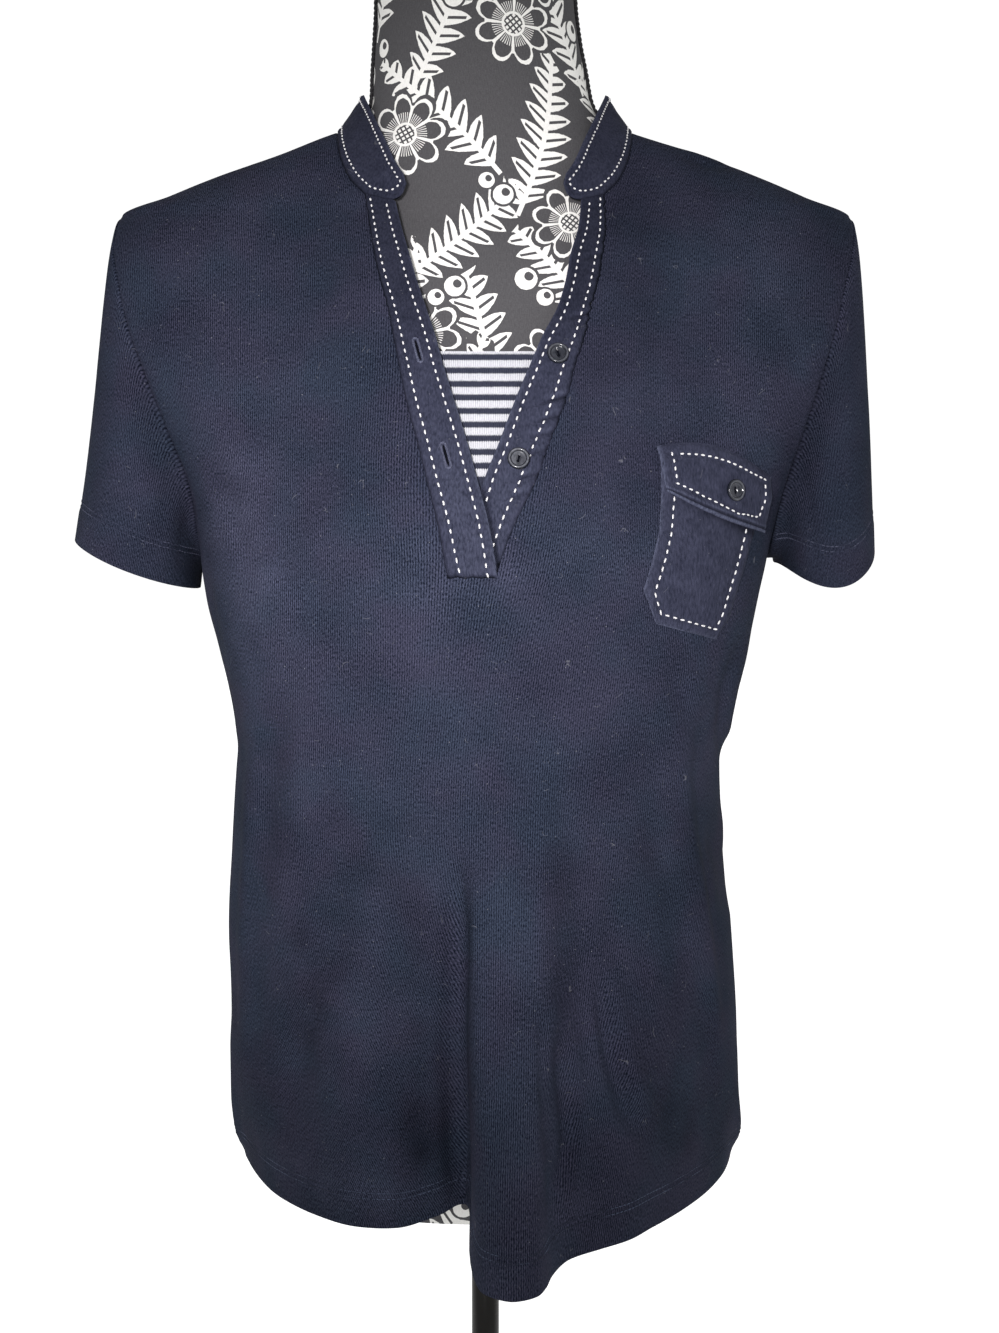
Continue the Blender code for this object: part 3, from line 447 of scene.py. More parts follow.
class Maths:
    # a socket whose sums are written as Python
    def __init__(self, tree, socket):
        self.tree = tree
        self.socket = socket

    def make(self, operation, *values):
        node = self.tree.nodes.new("ShaderNodeMath")
        node.operation = operation
        for slotIn, value in zip(node.inputs, values):
            if isinstance(value, Maths):
                self.tree.links.new(value.socket, slotIn)
            else:
                slotIn.default_value = value
        return Maths(self.tree, node.outputs[0])

    def __add__(self, other):
        return self.make("ADD", self, other)

    def __radd__(self, other):
        return self.make("ADD", other, self)

    def __sub__(self, other):
        return self.make("SUBTRACT", self, other)

    def __rsub__(self, other):
        return self.make("SUBTRACT", other, self)

    def __mul__(self, other):
        return self.make("MULTIPLY", self, other)

    def __rmul__(self, other):
        return self.make("MULTIPLY", other, self)

    def __truediv__(self, other):
        return self.make("DIVIDE", self, other)

    def __pow__(self, other):
        return self.make("POWER", self, other)

    def __lt__(self, other):
        return self.make("LESS_THAN", self, other)

    def __gt__(self, other):
        return self.make("GREATER_THAN", self, other)

    def __abs__(self):
        return self.make("ABSOLUTE", self)

    def wave(self, length):
        return self.make("SINE", self * (math.tau / length))

    def part(self):
        return self.make("FRACT", self)

    def most(self, other):
        return self.make("MAXIMUM", self, other)


class Nodes:
    # the nodes of one material or world
    def __init__(self, tree):
        self.tree = tree

    def node(self, kind, settings=None, output=0, **values):
        # a socket is given by its name or, as in i0, by its number, and a colour without its alpha
        made = self.tree.nodes.new(kind)
        for key, value in (settings or {}).items():
            setattr(made, key, value)
        for key, value in values.items():
            socket = made.inputs[int(key[1:])] if key[1:].isdigit() else made.inputs[key]
            if isinstance(value, Maths):
                self.tree.links.new(value.socket, socket)
            else:
                socket.default_value = (*value, 1.0) if socket.type == "RGBA" else value
        return Maths(self.tree, made.outputs[output])

    def axes(self, vector):
        split = self.node("ShaderNodeSeparateXYZ", i0=vector).socket.node
        return [Maths(self.tree, out) for out in split.outputs]

    def vector(self, operation, first, second):
        return self.node("ShaderNodeVectorMath", {"operation": operation}, i0=first, i1=second)

    def range(self, value, low, high, first=0.0, last=1.0, blend="LINEAR"):
        settings = {"interpolation_type": blend}
        return self.node("ShaderNodeMapRange", settings, i0=value, i1=low, i2=high, i3=first, i4=last)


class Finish(Nodes):
    # one material, with its shader and the nodes that feed it
    def __init__(self, name, roughness, **settings):
        self.material = bpy.data.materials.new(name)
        self.material.use_nodes = True
        super().__init__(self.material.node_tree)
        self.shader = self.tree.nodes["Principled BSDF"]
        self.shader.inputs["Roughness"].default_value = roughness
        for socket, value in settings.items():
            self.shader.inputs[socket.replace("_", " ")].default_value = value

    def place(self):
        # object coordinates, in millimetres
        return self.scaled(self.node("ShaderNodeTexCoord", output="Object"), (1000.0, 1000.0, 1000.0))

    def scaled(self, vector, stretch):
        return self.vector("MULTIPLY", vector, stretch)

    def clothSpot(self):
        return self.axes(self.node("ShaderNodeUVMap", {"uv_map": "cloth"}))[:2]

    def wear(self):
        # the attribute of real wear, painted shade and painted light
        return self.node("ShaderNodeAttribute", {"attribute_name": "wear"}, output="Fac")

    def cloud(self, vector, size, detail=2.0):
        return self.node("ShaderNodeTexNoise", Vector=vector, Scale=1.0 / size, Detail=detail)

    def mixed(self, factor, first, second):
        return self.node("ShaderNodeMix", {"data_type": "RGBA"}, output=2, i0=factor, i6=first, i7=second)

    def feed(self, socket, value):
        self.tree.links.new(value.socket, self.shader.inputs[socket])

    def bump(self, height, depth):
        # depth in millimetres for a height of one
        self.feed("Normal", self.node("ShaderNodeBump", Strength=1.0, Distance=depth * mm, Height=height))


# Kinds of lint: where the pattern starts, how far apart its spots are, how far a spot reaches as a share
# of that, the share of spots that show, and how pale they are. Those with a bend are short curved hairs.
lintKinds = table("shift size reach chosen pale bend", (
    ((0, 0, 0), 5, 0.065, 0.4, 1, None), ((9, 23, 3), 2.6, 0.11, 0.3, 0.35, None),
    ((37, 2, 19), 13, 0.20, 0.38, 0.7, 7), ((8, 11, 64), 19, 0.16, 0.42, 0.7, 11),
    ((47, 3, 29), 7, 0.30, 0.20, 0.7, 4),
))
lintEdges = {"spotCore": 0.85, "hair": 0.011, "hairCore": 0.003}


def lint(finish, place, amount):
    # a hair is a bit of a contour line that shows only inside its spot
    found = None
    for kind in lintKinds:
        moved = finish.vector("ADD", place, kind["shift"])
        near = finish.node("ShaderNodeTexVoronoi", Vector=moved, Scale=1 / kind["size"])
        cell = finish.node("ShaderNodeTexVoronoi", output="Color", Vector=moved, Scale=1 / kind["size"])
        shown = finish.range(near, kind["reach"], lintEdges["spotCore"] * kind["reach"])
        shown = shown * (finish.axes(cell)[0] < kind["chosen"])
        if kind["bend"]:
            off = abs(finish.cloud(moved, kind["bend"], 0.0) - 0.5)
            shown = finish.range(off, lintEdges["hair"], lintEdges["hairCore"]) * shown
        shown = shown * kind["pale"]
        found = shown if found is None else found.most(shown)
    return found * amount


def paintedShadeMix(finish, colour, dark):
    # painted shade: darker where the attribute is below zero, in the grooves of seams pulled in by their
    # thread and in other shaded places
    worn = finish.wear()
    return worn, finish.mixed(finish.range(worn, 0.0, -1.0), colour, dark)


def knitFinish():
    knit = {
        "dark": (0.0036, 0.0050, 0.0100), "teal": (0.0385, 0.0500, 0.0790), "plum": (0.0480, 0.0485, 0.0800),
        # the first colour below is for faded knit and painted light, the last the near black of painted shade
        "fadedAndPaintedLight": (0.100, 0.106, 0.168), "lint": (0.15, 0.155, 0.17), "groove": (0.0015, 0.002, 0.004),
        "ribPitch": 1.22, "ribSharpness": 1.3, "ribDepth": 0.22, "course": 1.1, "courseShare": 0.15,
        "jitter": 0.5, "jitterSize": 4, "heatherSize": 0.55, "patchSize": 45, "hueSize": 38,
        "tone": {"yarn": 0.44, "heather": 1.45, "patches": 0.4, "base": 0.135}, "lintShare": 0.52,
    }
    finish = Finish("navyKnit", 0.95, Specular_IOR_Level=0.03)
    place = finish.place()
    across, along = finish.clothSpot()
    flatSpot = finish.node("ShaderNodeCombineXYZ", X=across, Y=along)
    jitter = finish.cloud(flatSpot, knit["jitterSize"], 1.0)
    rib = (across + jitter * knit["jitter"]).wave(knit["ribPitch"]) * 0.5 + 0.5
    rib = rib ** knit["ribSharpness"]
    courses = (along + rib * 0.5).wave(knit["course"]) * 0.5 + 0.5
    heather = finish.cloud(finish.scaled(flatSpot, (1.0, 0.4, 1.0)), knit["heatherSize"], 1.0)
    patches = finish.cloud(place, knit["patchSize"], 3.0)
    hue = finish.range(finish.cloud(place, knit["hueSize"], 2.0), 0.36, 0.62)
    yarn = rib * (1 - knit["courseShare"]) + courses * rib * knit["courseShare"]
    parts = knit["tone"]
    tone = yarn * parts["yarn"] + (heather - 0.5) * parts["heather"]
    tone = tone + (patches - 0.5) * parts["patches"] + parts["base"]
    shade = finish.range(tone, 0.0, 1.0)
    worn, darkest = paintedShadeMix(finish, knit["dark"], knit["groove"])
    palest = finish.mixed(hue, knit["teal"], knit["plum"])
    # paler where the attribute is above zero: faded knit and painted light
    palest = finish.mixed(finish.range(worn, 0.0, 1.0), palest, knit["fadedAndPaintedLight"])
    colour = finish.mixed(shade, darkest, palest)
    colour = finish.mixed(lint(finish, place, knit["lintShare"]), colour, knit["lint"])
    # painted shade laid over the lint as well
    colour = finish.mixed(finish.range(worn, 0.0, -1.0), colour, knit["groove"])
    finish.feed("Base Color", colour)
    finish.bump((yarn + heather * 0.5) * finish.range(worn, -0.5, 0.0), knit["ribDepth"])
    return finish.material


def wovenFinish():
    woven = {
        # of the colours below, worn is for worn places and painted light, and groove the near black of
        # painted shade
        "dark": (0.0070, 0.0085, 0.0160), "light": (0.0400, 0.0430, 0.0700), "worn": (0.062, 0.070, 0.105),
        "lint": (0.15, 0.155, 0.17), "groove": (0.0015, 0.002, 0.004), "thread": 0.55, "weaveDepth": 0.06,
        "slubSize": 0.9, "patchSize": 9, "lintShare": 0.34,
        "tone": {"weave": 0.2, "slubs": 1.1, "patches": 0.5, "base": 0.30},
    }
    finish = Finish("navyWoven", 0.9, Specular_IOR_Level=0.05)
    place = finish.place()
    x, _, z = finish.axes(place)
    weave = (x.wave(woven["thread"]) * z.wave(woven["thread"])) * 0.5 + 0.5
    slubs = finish.cloud(finish.scaled(place, (1.0, 1.0, 0.3)), woven["slubSize"], 2.0)
    patches = finish.cloud(place, woven["patchSize"], 3.0)
    parts = woven["tone"]
    tone = weave * parts["weave"] + (slubs - 0.5) * parts["slubs"]
    tone = tone + (patches - 0.5) * parts["patches"] + parts["base"]
    colour = finish.mixed(finish.range(tone, 0.0, 1.0), woven["dark"], woven["light"])
    colour = finish.mixed(lint(finish, place, woven["lintShare"]), colour, woven["lint"])
    worn, colour = paintedShadeMix(finish, colour, woven["groove"])
    # paler where the attribute is above zero: worn places and painted light
    rubbed = finish.range(worn, 0.0, 1.0) * finish.range(slubs, 0.25, 0.65)
    colour = finish.mixed(rubbed, colour, woven["worn"])
    finish.feed("Base Color", colour)
    finish.bump(weave + slubs * 1.5, woven["weaveDepth"])
    return finish.material


def stripeFinish():
    stripes = {
        "white": (0.41, 0.42, 0.44), "grey": (0.23, 0.235, 0.26), "navy": (0.0080, 0.0095, 0.0170),
        "fuzz": (0.024, 0.027, 0.043), "top": 1069.6, "pitch": 7.12, "tip": 1002, "whiteShare": 0.5,
        "ribPitch": 1.15, "ribDepth": 0.12,
    }
    finish = Finish("stripedKnit", 0.9, Specular_IOR_Level=0.1)
    place = finish.place()
    x, _, z = finish.axes(place)
    rib = x.wave(stripes["ribPitch"]) * 0.5 + 0.5
    wobble = finish.cloud(place, 2.0, 1.0) * 0.5
    level = ((stripes["top"] - z + rib * 0.5 + wobble) / stripes["pitch"]).part()
    isNavy = finish.range(level, stripes["whiteShare"] - 0.04, stripes["whiteShare"] + 0.06)
    isNavy = isNavy * finish.range(level, 0.93, 1.0, 1.0, 0.0)
    isNavy = isNavy.most(finish.range(z, stripes["tip"] + 0.6, stripes["tip"]))
    grain = finish.cloud(place, 0.7, 1.0)
    tone = finish.range(rib * 0.5 + grain * 0.9, 0.25, 0.9)
    white = finish.mixed(tone, stripes["grey"], stripes["white"])
    navy = finish.mixed(tone, stripes["navy"], stripes["fuzz"])
    finish.feed("Base Color", finish.mixed(isNavy, white, navy))
    finish.bump(rib + grain * 0.5, stripes["ribDepth"])
    return finish.material


def threadFinish(name, pale, deep, shine, patch=0.0):
    # patch is the size in mm of its faded stretches
    finish = Finish(name, 0.75, Specular_IOR_Level=shine)
    place = finish.place()
    twist = finish.cloud(place, 0.35, 2.0)
    light = finish.range(twist, 0.35, 0.65)
    if patch:
        light = light * finish.range(finish.cloud(place, patch, 1.0), 0.47, 0.60)
    finish.feed("Base Color", finish.mixed(light, deep, pale))
    finish.bump(twist, 0.08)
    return finish.material


def buttonFinish():
    # black, with a painted highlight on the ring round its dish and a painted reflection in the dish
    resin = {
        "black": (0.002, 0.003, 0.005), "swirl": (0.006, 0.008, 0.014), "rubbed": (0.24, 0.25, 0.28),
        "swirlSize": 1.6, "glossSize": 1.2,
    }
    finish = Finish("darkButton", 0.2, Specular_IOR_Level=0.35)
    place = finish.place()
    swirl = finish.cloud(place, resin["swirlSize"], 3.0)
    rubbed = finish.wear() * finish.range(swirl, 0.2, 0.6, 0.55, 1.0)
    black = finish.mixed(swirl, resin["black"], resin["swirl"])
    finish.feed("Base Color", finish.mixed(rubbed, black, resin["rubbed"]))
    gloss = finish.cloud(place, resin["glossSize"], 3.0)
    finish.feed("Roughness", finish.range(gloss, 0.3, 0.7, 0.12, 0.28))
    return finish.material


def metalFinish():
    metal = {
        "black": (0.0045, 0.0042, 0.0038), "worn": (0.018, 0.0165, 0.0145), "paleRing": (0.060, 0.050, 0.040),
        "paleRingShare": 0.6, "wearSize": 9.0, "ringSize": 1.3, "grainSize": 1.5, "grainDepth": 0.02,
    }
    finish = Finish("blackMetal", 0.3, Specular_IOR_Level=0.25)
    place = finish.place()
    height = finish.axes(place)[2]
    wearing = finish.cloud(finish.scaled(place, (1.0, 1.0, 0.15)), metal["wearSize"], 4.0)
    ring = finish.cloud(finish.node("ShaderNodeCombineXYZ", Z=height), metal["ringSize"], 2.0)
    # pale patchy rings round the metal at random heights
    paleRings = finish.range(ring * 0.7 + wearing * 0.4, 0.62, 0.72)
    colour = finish.mixed(wearing, metal["black"], metal["worn"])
    finish.feed("Base Color", finish.mixed(paleRings * metal["paleRingShare"], colour, metal["paleRing"]))
    finish.feed("Roughness", finish.range(wearing, 0.3, 0.7, 0.16, 0.38))
    finish.bump(finish.cloud(place, metal["grainSize"], 2.0), metal["grainDepth"])
    return finish.material


# The form's printed cover: ferns, daisies and berries drawn in white, in a repeat. u runs round from
# the middle of the front and v is the height.
cover = {
    "ground": (0.074, 0.073, 0.077), "pit": (0.034, 0.034, 0.036), "ink": (0.70, 0.70, 0.67),
    "inkShade": (0.50, 0.50, 0.48), "repeat": (188, 216),
}
ferns = table("u v turn length width leaflets", (
    (-62, 1046, 66, 92, 25, 8), (4, 1052, 98, 80, 24, 7), (66, 1078, 124, 84, 25, 8),
    (-30, 1118, 36, 84, 24, 8), (-84, 1132, 78, 88, 24, 8), (24, 1160, 70, 86, 24, 8),
    (-2, 1180, 132, 82, 23, 7), (84, 1170, 100, 78, 23, 7), (-30, 1228, 58, 74, 22, 7),
    (60, 1228, 112, 70, 21, 6),
))
daisies = table("u v turn size", (
    (-34, 1078, 0.2, 22), (46, 1140, 0.9, 21), (-44, 1190, 0.5, 23), (34, 1062, 0, 20), (20, 1248, 0.7, 22),
    (-88, 1100, 0.4, 21),
))
berries = table("u v size", (
    (22, 1108, 6), (32, 1098, 4.6), (-16, 1104, 5.6), (-26, 1098, 4.4), (-58, 1146, 5.4), (10, 1156, 5.6),
    (1, 1164, 4.4), (62, 1250, 5.6), (-12, 1262, 5.4), (-2, 1268, 4.4), (-78, 1228, 5.6), (80, 1132, 5.4),
    (70, 1126, 4.4), (-60, 1240, 5),
))
# in shares of a motif's own size; clear is the bare ground that it keeps round it
frond = {
    "from": -0.2, "to": 0.96, "bend": 0.45, "tipTaper": 0.6, "foot": 0.12, "footTaper": 0.35, "full": 1.05,
    "slant": 1.1, "blunt": 2.5, "leaf": 0.86, "ragged": 0.16, "vein": 0.16, "veinReach": 0.8, "stem": 0.055,
    "clear": 0.1,
}
bloom = {
    "petals": 8, "pinch": 0.5, "ragged": 0.06, "outline": 0.1, "seam": 0.5, "seamEnd": 0.72, "eye": 0.3,
    "eyeRim": 0.24, "eyeDots": 9, "dotShare": 0.62, "hatch": 8.9, "hatchWidth": 0.16, "hatchEnd": 0.55,
    "clear": 0.12,
}
fruit = {"ragged": 0.1, "rim": 0.72, "shineAt": 0.25, "shine": 0.42, "clear": 0.25}


def coverFinish():
    finish = Finish("formCover", 0.9, Specular_IOR_Level=0.1)
    width, height = cover["repeat"]
    half = (width / 2, height / 2, 1.0)
    u, v = finish.clothSpot()
    flatSpot = finish.node("ShaderNodeCombineXYZ", X=u, Y=v)
    rough = finish.cloud(flatSpot, 2.2, 2.0) - 0.5

    def local(motif, turn, size):
        # the motif's own coordinates, repeated over the cover
        moved = finish.vector("SUBTRACT", flatSpot, (motif["u"], motif["v"], 0.0))
        wrapped = finish.node(
            "ShaderNodeVectorMath", {"operation": "WRAP"}, i0=moved, i1=half, i2=tuple(-x for x in half),
        )
        turned = finish.node(
            "ShaderNodeMapping", {"vector_type": "TEXTURE"}, Vector=wrapped, Rotation=(0.0, 0.0, turn),
            Scale=(*size, 1.0),
        )
        return finish.axes(turned)[:2]

    def laidOver(ink, shape, drawn):
        # a later motif clears the ground round it
        return drawn if ink is None else (ink * (1 - shape)).most(drawn)

    ink = None
    for fern in ferns:
        x, y = local(fern, math.radians(fern["turn"]), (fern["length"], fern["width"]))
        across = abs(y - x * x * frond["bend"])
        onStem = (x > frond["from"]) * (x < frond["to"])
        full = (1 - x).most(0.0) ** frond["tipTaper"]
        full = full * (x + frond["foot"]).most(0.0) ** frond["footTaper"] * frond["full"]
        phase = abs((x * fern["leaflets"] - across * frond["slant"]).part() - 0.5) * 2
        leaf = (1 - (across / full.most(0.02)) ** frond["blunt"]) * frond["leaf"]
        inLeaflet = (leaf - phase + rough * frond["ragged"] > 0.0) * (across < full) * onStem
        vein = (phase < frond["vein"]) * (across < full * frond["veinReach"])
        rib = (across < frond["stem"]) * onStem
        drawn = (inLeaflet * (1 - vein)).most(rib)
        ink = laidOver(ink, (across < full + frond["clear"]) * onStem * (x > 0.0), drawn)
    for daisy in daisies:
        x, y = local(daisy, daisy["turn"], (daisy["size"], daisy["size"]))
        reach = (x * x + y * y) ** 0.5
        bearing = finish.node("ShaderNodeMath", {"operation": "ARCTAN2"}, i0=y, i1=x)
        petals = abs(bearing.make("SINE", bearing * (bloom["petals"] / 2))) ** bloom["pinch"]
        edge = petals * 0.5 + 0.5 - reach + rough * bloom["ragged"]
        line = (edge > 0.0) * (edge < bloom["outline"])
        pastEye = reach > bloom["eye"]
        seams = (petals < bloom["seam"]) * (reach < bloom["seamEnd"]) * pastEye
        hatch = abs((bearing * bloom["hatch"]).part() - 0.5) < bloom["hatchWidth"]
        hatch = hatch * pastEye * (reach < bloom["hatchEnd"])
        dots = [(way * bloom["eyeDots"]).part() < bloom["dotShare"] for way in (x, y)]
        eye = (reach < bloom["eye"]) * (dots[0] * dots[1]).most(reach > bloom["eyeRim"])
        ink = laidOver(ink, edge > -bloom["clear"], line.most(seams).most(hatch).most(eye))
    for berry in berries:
        x, y = local(berry, 0.0, (berry["size"], berry["size"]))
        reach = (x * x + y * y) ** 0.5 + rough * fruit["ragged"]
        shineAt = fruit["shineAt"]
        shine = ((x - shineAt) ** 2.0 + (y - shineAt) ** 2.0) ** 0.5
        drawn = (reach < 1.0) * (reach > fruit["rim"]).most(shine > fruit["shine"])
        ink = laidOver(ink, reach < 1 + fruit["clear"], drawn)
    threads = (u.wave(0.62) * v.wave(0.62)) * 0.5 + 0.5
    slubs = finish.cloud(flatSpot, 0.8, 2.0)
    warp = finish.cloud(finish.scaled(flatSpot, (2.4, 0.5, 1.0)), 1.4, 2.0)
    tone = finish.range(threads * 0.3 + slubs * 0.6 + warp * 0.6, 0.35, 1.15)
    ground = finish.mixed(tone, cover["pit"], cover["ground"])
    inkTone = finish.mixed(tone, cover["inkShade"], cover["ink"])
    finish.feed("Base Color", finish.mixed(ink, ground, inkTone))
    finish.bump(threads * 0.6 + slubs, 0.06)
    return finish.material


print("making finishes")
looks = {
    "knit": knitFinish(),
    "woven": wovenFinish(),
    "stripe": stripeFinish(),
    "whiteThread": threadFinish("whiteThread", (0.58, 0.58, 0.57), (0.38, 0.38, 0.39), 0.1),
    "navyThread": threadFinish("navyThread", (0.075, 0.095, 0.150), (0.013, 0.016, 0.029), 0.1, 22.0),
    "lipThread": threadFinish("lipThread", (0.086, 0.092, 0.134), (0.024, 0.028, 0.046), 0.08),
    "cuffThread": threadFinish("cuffThread", (0.072, 0.078, 0.115), (0.022, 0.025, 0.042), 0.05, 9.0),
    # near black, for the buttons' thread and for the painted shadow in the buttonhole slits
    "darkThreadAndSlitShadow": threadFinish("darkThreadAndSlitShadow", (0.004, 0.005, 0.008), (0.001, 0.001, 0.002), 0.02),
    "button": buttonFinish(),
    "metal": metalFinish(),
    "cover": coverFinish(),
    "braid": threadFinish("blackBraid", (0.030, 0.030, 0.032), (0.006, 0.006, 0.007), 0.15),
}


def sideName(side):
    return "right" if side < 0 else "left"


def flatSpread(column, row, point):
    return point.x, point.z


def upperTurn(row):
    # angle down the armhole from the shoulder point
    return math.pi * (1 - row / upperRows)


def upperHeight(row):
    return armholeMiddle + armholeHalf * math.cos(upperTurn(row))


def lowerHeight(row):
    return mix(shirt["hem"], shirt["underarm"], row / shirt["lowerRows"])


def placketHeight(row):
    return mix(shirt["placketFoot"], shirt["placketTop"], row / shirt["placketRows"])


def frontInnerEnd(side, row):
    # a row above the underarm ends on the placket's seam, then on the neck seam
    if row <= shirt["placketRows"]:
        height = placketHeight(row)
        return read(placket, sideName(side) + "Seam", height), height
    share = (row - shirt["placketRows"]) / shirt["necklineRows"]
    return side * read(neckline, "halfWidth", share, "share"), read(neckline, "height", share, "share")


def middleSeam(side, height):
    down = (shirt["placketFoot"] - height) / (shirt["placketFoot"] - shirt["hem"])
    foot = signedAngle(placket[0][sideName(side) + "Seam"], shirt["placketFoot"])
    return mix(foot, shirt["middleHemAngles"][side], down)


def underPlacket(row):
    return mix(shirt["hem"], shirt["placketFoot"], min(1.0, row / shirt["lowerRows"]))


def armholeAngle(side, face, height):
    return side * angleAt(side, face, outline(side, height), height)


frontColumns = 2 * shirt["sideColumns"] + shirt["middleColumns"]
frontSpots = {}


def frontSpot(column, row):
    # angle and height of a grid point of the front
    sideColumns, middleColumns = shirt["sideColumns"], shirt["middleColumns"]
    upper = row - shirt["lowerRows"]
    outer = lowerHeight(row) if upper <= 0 else upperHeight(upper)
    if sideColumns < column < sideColumns + middleColumns:
        share = (column - sideColumns) / middleColumns
        height = underPlacket(row)
        return mix(middleSeam(-1, height), middleSeam(1, height), share), height
    side = -1 if column <= sideColumns else 1
    stepsOut = sideColumns - column if side < 0 else column - sideColumns - middleColumns
    fromSeam = (stepsOut / sideColumns) ** shirt["crowding"][side]
    if upper < 0:
        innerHeight = underPlacket(row)
        inner = middleSeam(side, innerHeight)
    else:
        innerX, innerHeight = frontInnerEnd(side, upper)
        inner = side * 90.0 if upper == upperRows else signedAngle(innerX, innerHeight)
    outerAngle = side * 90.0 if upper == upperRows else armholeAngle(side, -1, outer)
    return mix(inner, outerAngle, fromSeam), mix(innerHeight, outer, fromSeam)


def frontPlace(column, row):
    angle, height = frontSpot(column, row)
    frontSpots[column, row] = angle, height
    point = panelPoint(-1, angle, height)
    if row == allRows or (column in (0, frontColumns) and row <= shirt["lowerRows"]):
        point.y -= shirt["gap"] / 2
    return point


def frontKeep(column, row):
    low, high = shirt["sideColumns"], shirt["sideColumns"] + shirt["middleColumns"]
    return row < shirt["lowerRows"] or not low <= column < high


def frontSeamCells(column, row):
    # how many cells away the nearest seam is; the hem is no seam
    out = max(shirt["sideColumns"] - column, column - shirt["sideColumns"] - shirt["middleColumns"], 0)
    toPlacket = out if row >= shirt["lowerRows"] else max(out, 2 * (shirt["lowerRows"] - row))
    return min(column, frontColumns - column, allRows - row, toPlacket)


slants = table("seamX shift reach", ((-26, 9, 70), (26, -24, 105)))


def frontUv(column, row, point):
    # the ribs fan out from the placket's foot, along its seams
    angle, height = frontSpots[column, row]
    across = ribLength(-1, angle, height)
    risen = smooth((height - shirt["placketFoot"] + 75.0) / 150.0)
    for slant in slants:
        far = abs(point.x - slant["seamX"]) / slant["reach"]
        across += slant["shift"] * risen * (1 - smooth(far))
    return across, height


# soft pale patches of the knit and, with a minus, dark ones: partly worn and faded knit, partly painted light
# and painted shade
fadesAndPaintedLight = table("x z wide high amount", (
    (-35, 735, 10, 65, -0.34), (-90, 718, 22, 50, -0.40), (-60, 795, 28, 50, -0.28),
    (78, 800, 42, 32, -0.26), (57, 885, 20, 26, -0.16), (-132, 977, 22, 48, 0.72),
    (-108, 922, 26, 30, 0.40), (134, 1035, 20, 36, 0.24), (158, 1100, 18, 30, 0.34),
    (-150, 1100, 16, 30, 0.14), (0, 625, 200, 14, 0.22), (-70, 1112, 28, 36, -0.34),
    (80, 1105, 28, 40, -0.34), (-15, 696, 10, 26, -0.28), (-35, 668, 12, 38, -0.36),
    (27, 690, 12, 60, 0.26), (103, 652, 26, 26, -0.36), (108, 795, 16, 30, -0.18),
    (-117, 830, 11, 60, -0.24), (-96, 816, 9, 30, 0.14), (-52, 628, 45, 12, 0.26),
    (20, 962, 75, 17, 0.28), (-24, 950, 24, 20, 0.36), (72, 1142, 24, 24, -0.24),
    (-77, 1148, 20, 20, -0.26), (58, 1050, 18, 26, -0.20), (6, 605, 14, 14, 0.36),
    (-78, 630, 14, 12, 0.30), (-14, 628, 11, 12, 0.30), (-36, 652, 10, 16, -0.28),
    (-97, 754, 10, 16, -0.16), (-117, 785, 10, 22, -0.14), (140, 1142, 22, 20, 0.24),
    (-140, 1147, 18, 14, 0.22), (88, 975, 14, 18, 0.16),
))


def frontWearAndPaintedLight(column, row, point):
    # a painted highlight along the sides and armholes, painted shade along the shoulder seams, on top of the
    # patches
    side = min(column, frontColumns - column)
    seams = 0.25 * bell(side, 0.8) - 0.5 * bell(allRows - row, 0.8)
    fadedAndPaintedLight = 0.0
    for spot in fadesAndPaintedLight:
        off = ((point.x - spot["x"]) / spot["wide"]) ** 2 + ((point.z - spot["z"]) / spot["high"]) ** 2
        fadedAndPaintedLight += spot["amount"] * math.exp(-off)
    return seams + fadedAndPaintedLight * (0.7 + 0.6 * noise.noise(point / 16))


def hemRelief(up, depth, raised):
    # the turned-up hem is double, so it stands a little proud below its stitching
    return raised * smooth((depth - up) / 3.0) - 0.3 * bell(up - depth, 1.6)


def panelRelief(creases, point, height, seed):
    hem = hemRelief(height - shirt["hem"], shirt["hemDepth"], shirt["hemRaise"])
    return creaseDepth(creases, point.x, point.z) + softWaves(point, seed) + hem


def frontRelief(column, row, point):
    return panelRelief(frontCreases, point, frontSpots[column, row][1], 1.0)


backColumns = 2 * shirt["backSideColumns"] + shirt["backNeckColumns"]
backSpots = {}


def backPlace(column, row):
    sideColumns = shirt["backSideColumns"]
    upper = row - shirt["lowerRows"]
    outer = lowerHeight(row) if upper <= 0 else upperHeight(upper)
    side = 1 if column < backColumns / 2 else -1
    fromEdge = min(column, backColumns - column)
    neckShare = max(0, upper) / upperRows
    neckHeight = mix(outer if upper <= 0 else shirt["underarm"], shirt["neckSide"], neckShare)
    topRow = upper == upperRows
    outerAngle = 90.0 if topRow else abs(armholeAngle(side, 1, outer))
    neckX = shirt["neckHalfWidth"] * mix(shirt["backNeckSpread"], 1.0, neckShare)
    neckAngle = 90.0 if topRow else angleAt(side, 1, neckX, neckHeight)
    if fromEdge <= sideColumns:
        share = fromEdge / sideColumns
        angle, height = mix(outerAngle, neckAngle, share), mix(outer, neckHeight, share)
        if topRow:
            height = mix(shirt["shoulder"], shirt["neckSide"], share)
    else:
        roundNeck = (fromEdge - sideColumns) / shirt["backNeckColumns"] * math.pi
        height = neckHeight - (shirt["neckSide"] - shirt["neckBack"]) * math.sin(roundNeck) * neckShare
        angle = angleAt(side, 1, neckX * math.cos(roundNeck), height)
    backSpots[column, row] = side * angle, height
    point = panelPoint(1, side * angle, height)
    if (fromEdge == 0 and upper <= 0) or (topRow and fromEdge <= sideColumns):
        point.y += shirt["gap"] / 2
    return point


def backSeamCells(column, row):
    return min(column, backColumns - column, allRows - row)


def backUv(column, row, point):
    angle, height = backSpots[column, row]
    return ribLength(1, angle, height), height


def backRelief(column, row, point):
    return panelRelief(backCreases, point, backSpots[column, row][1], 4.0)


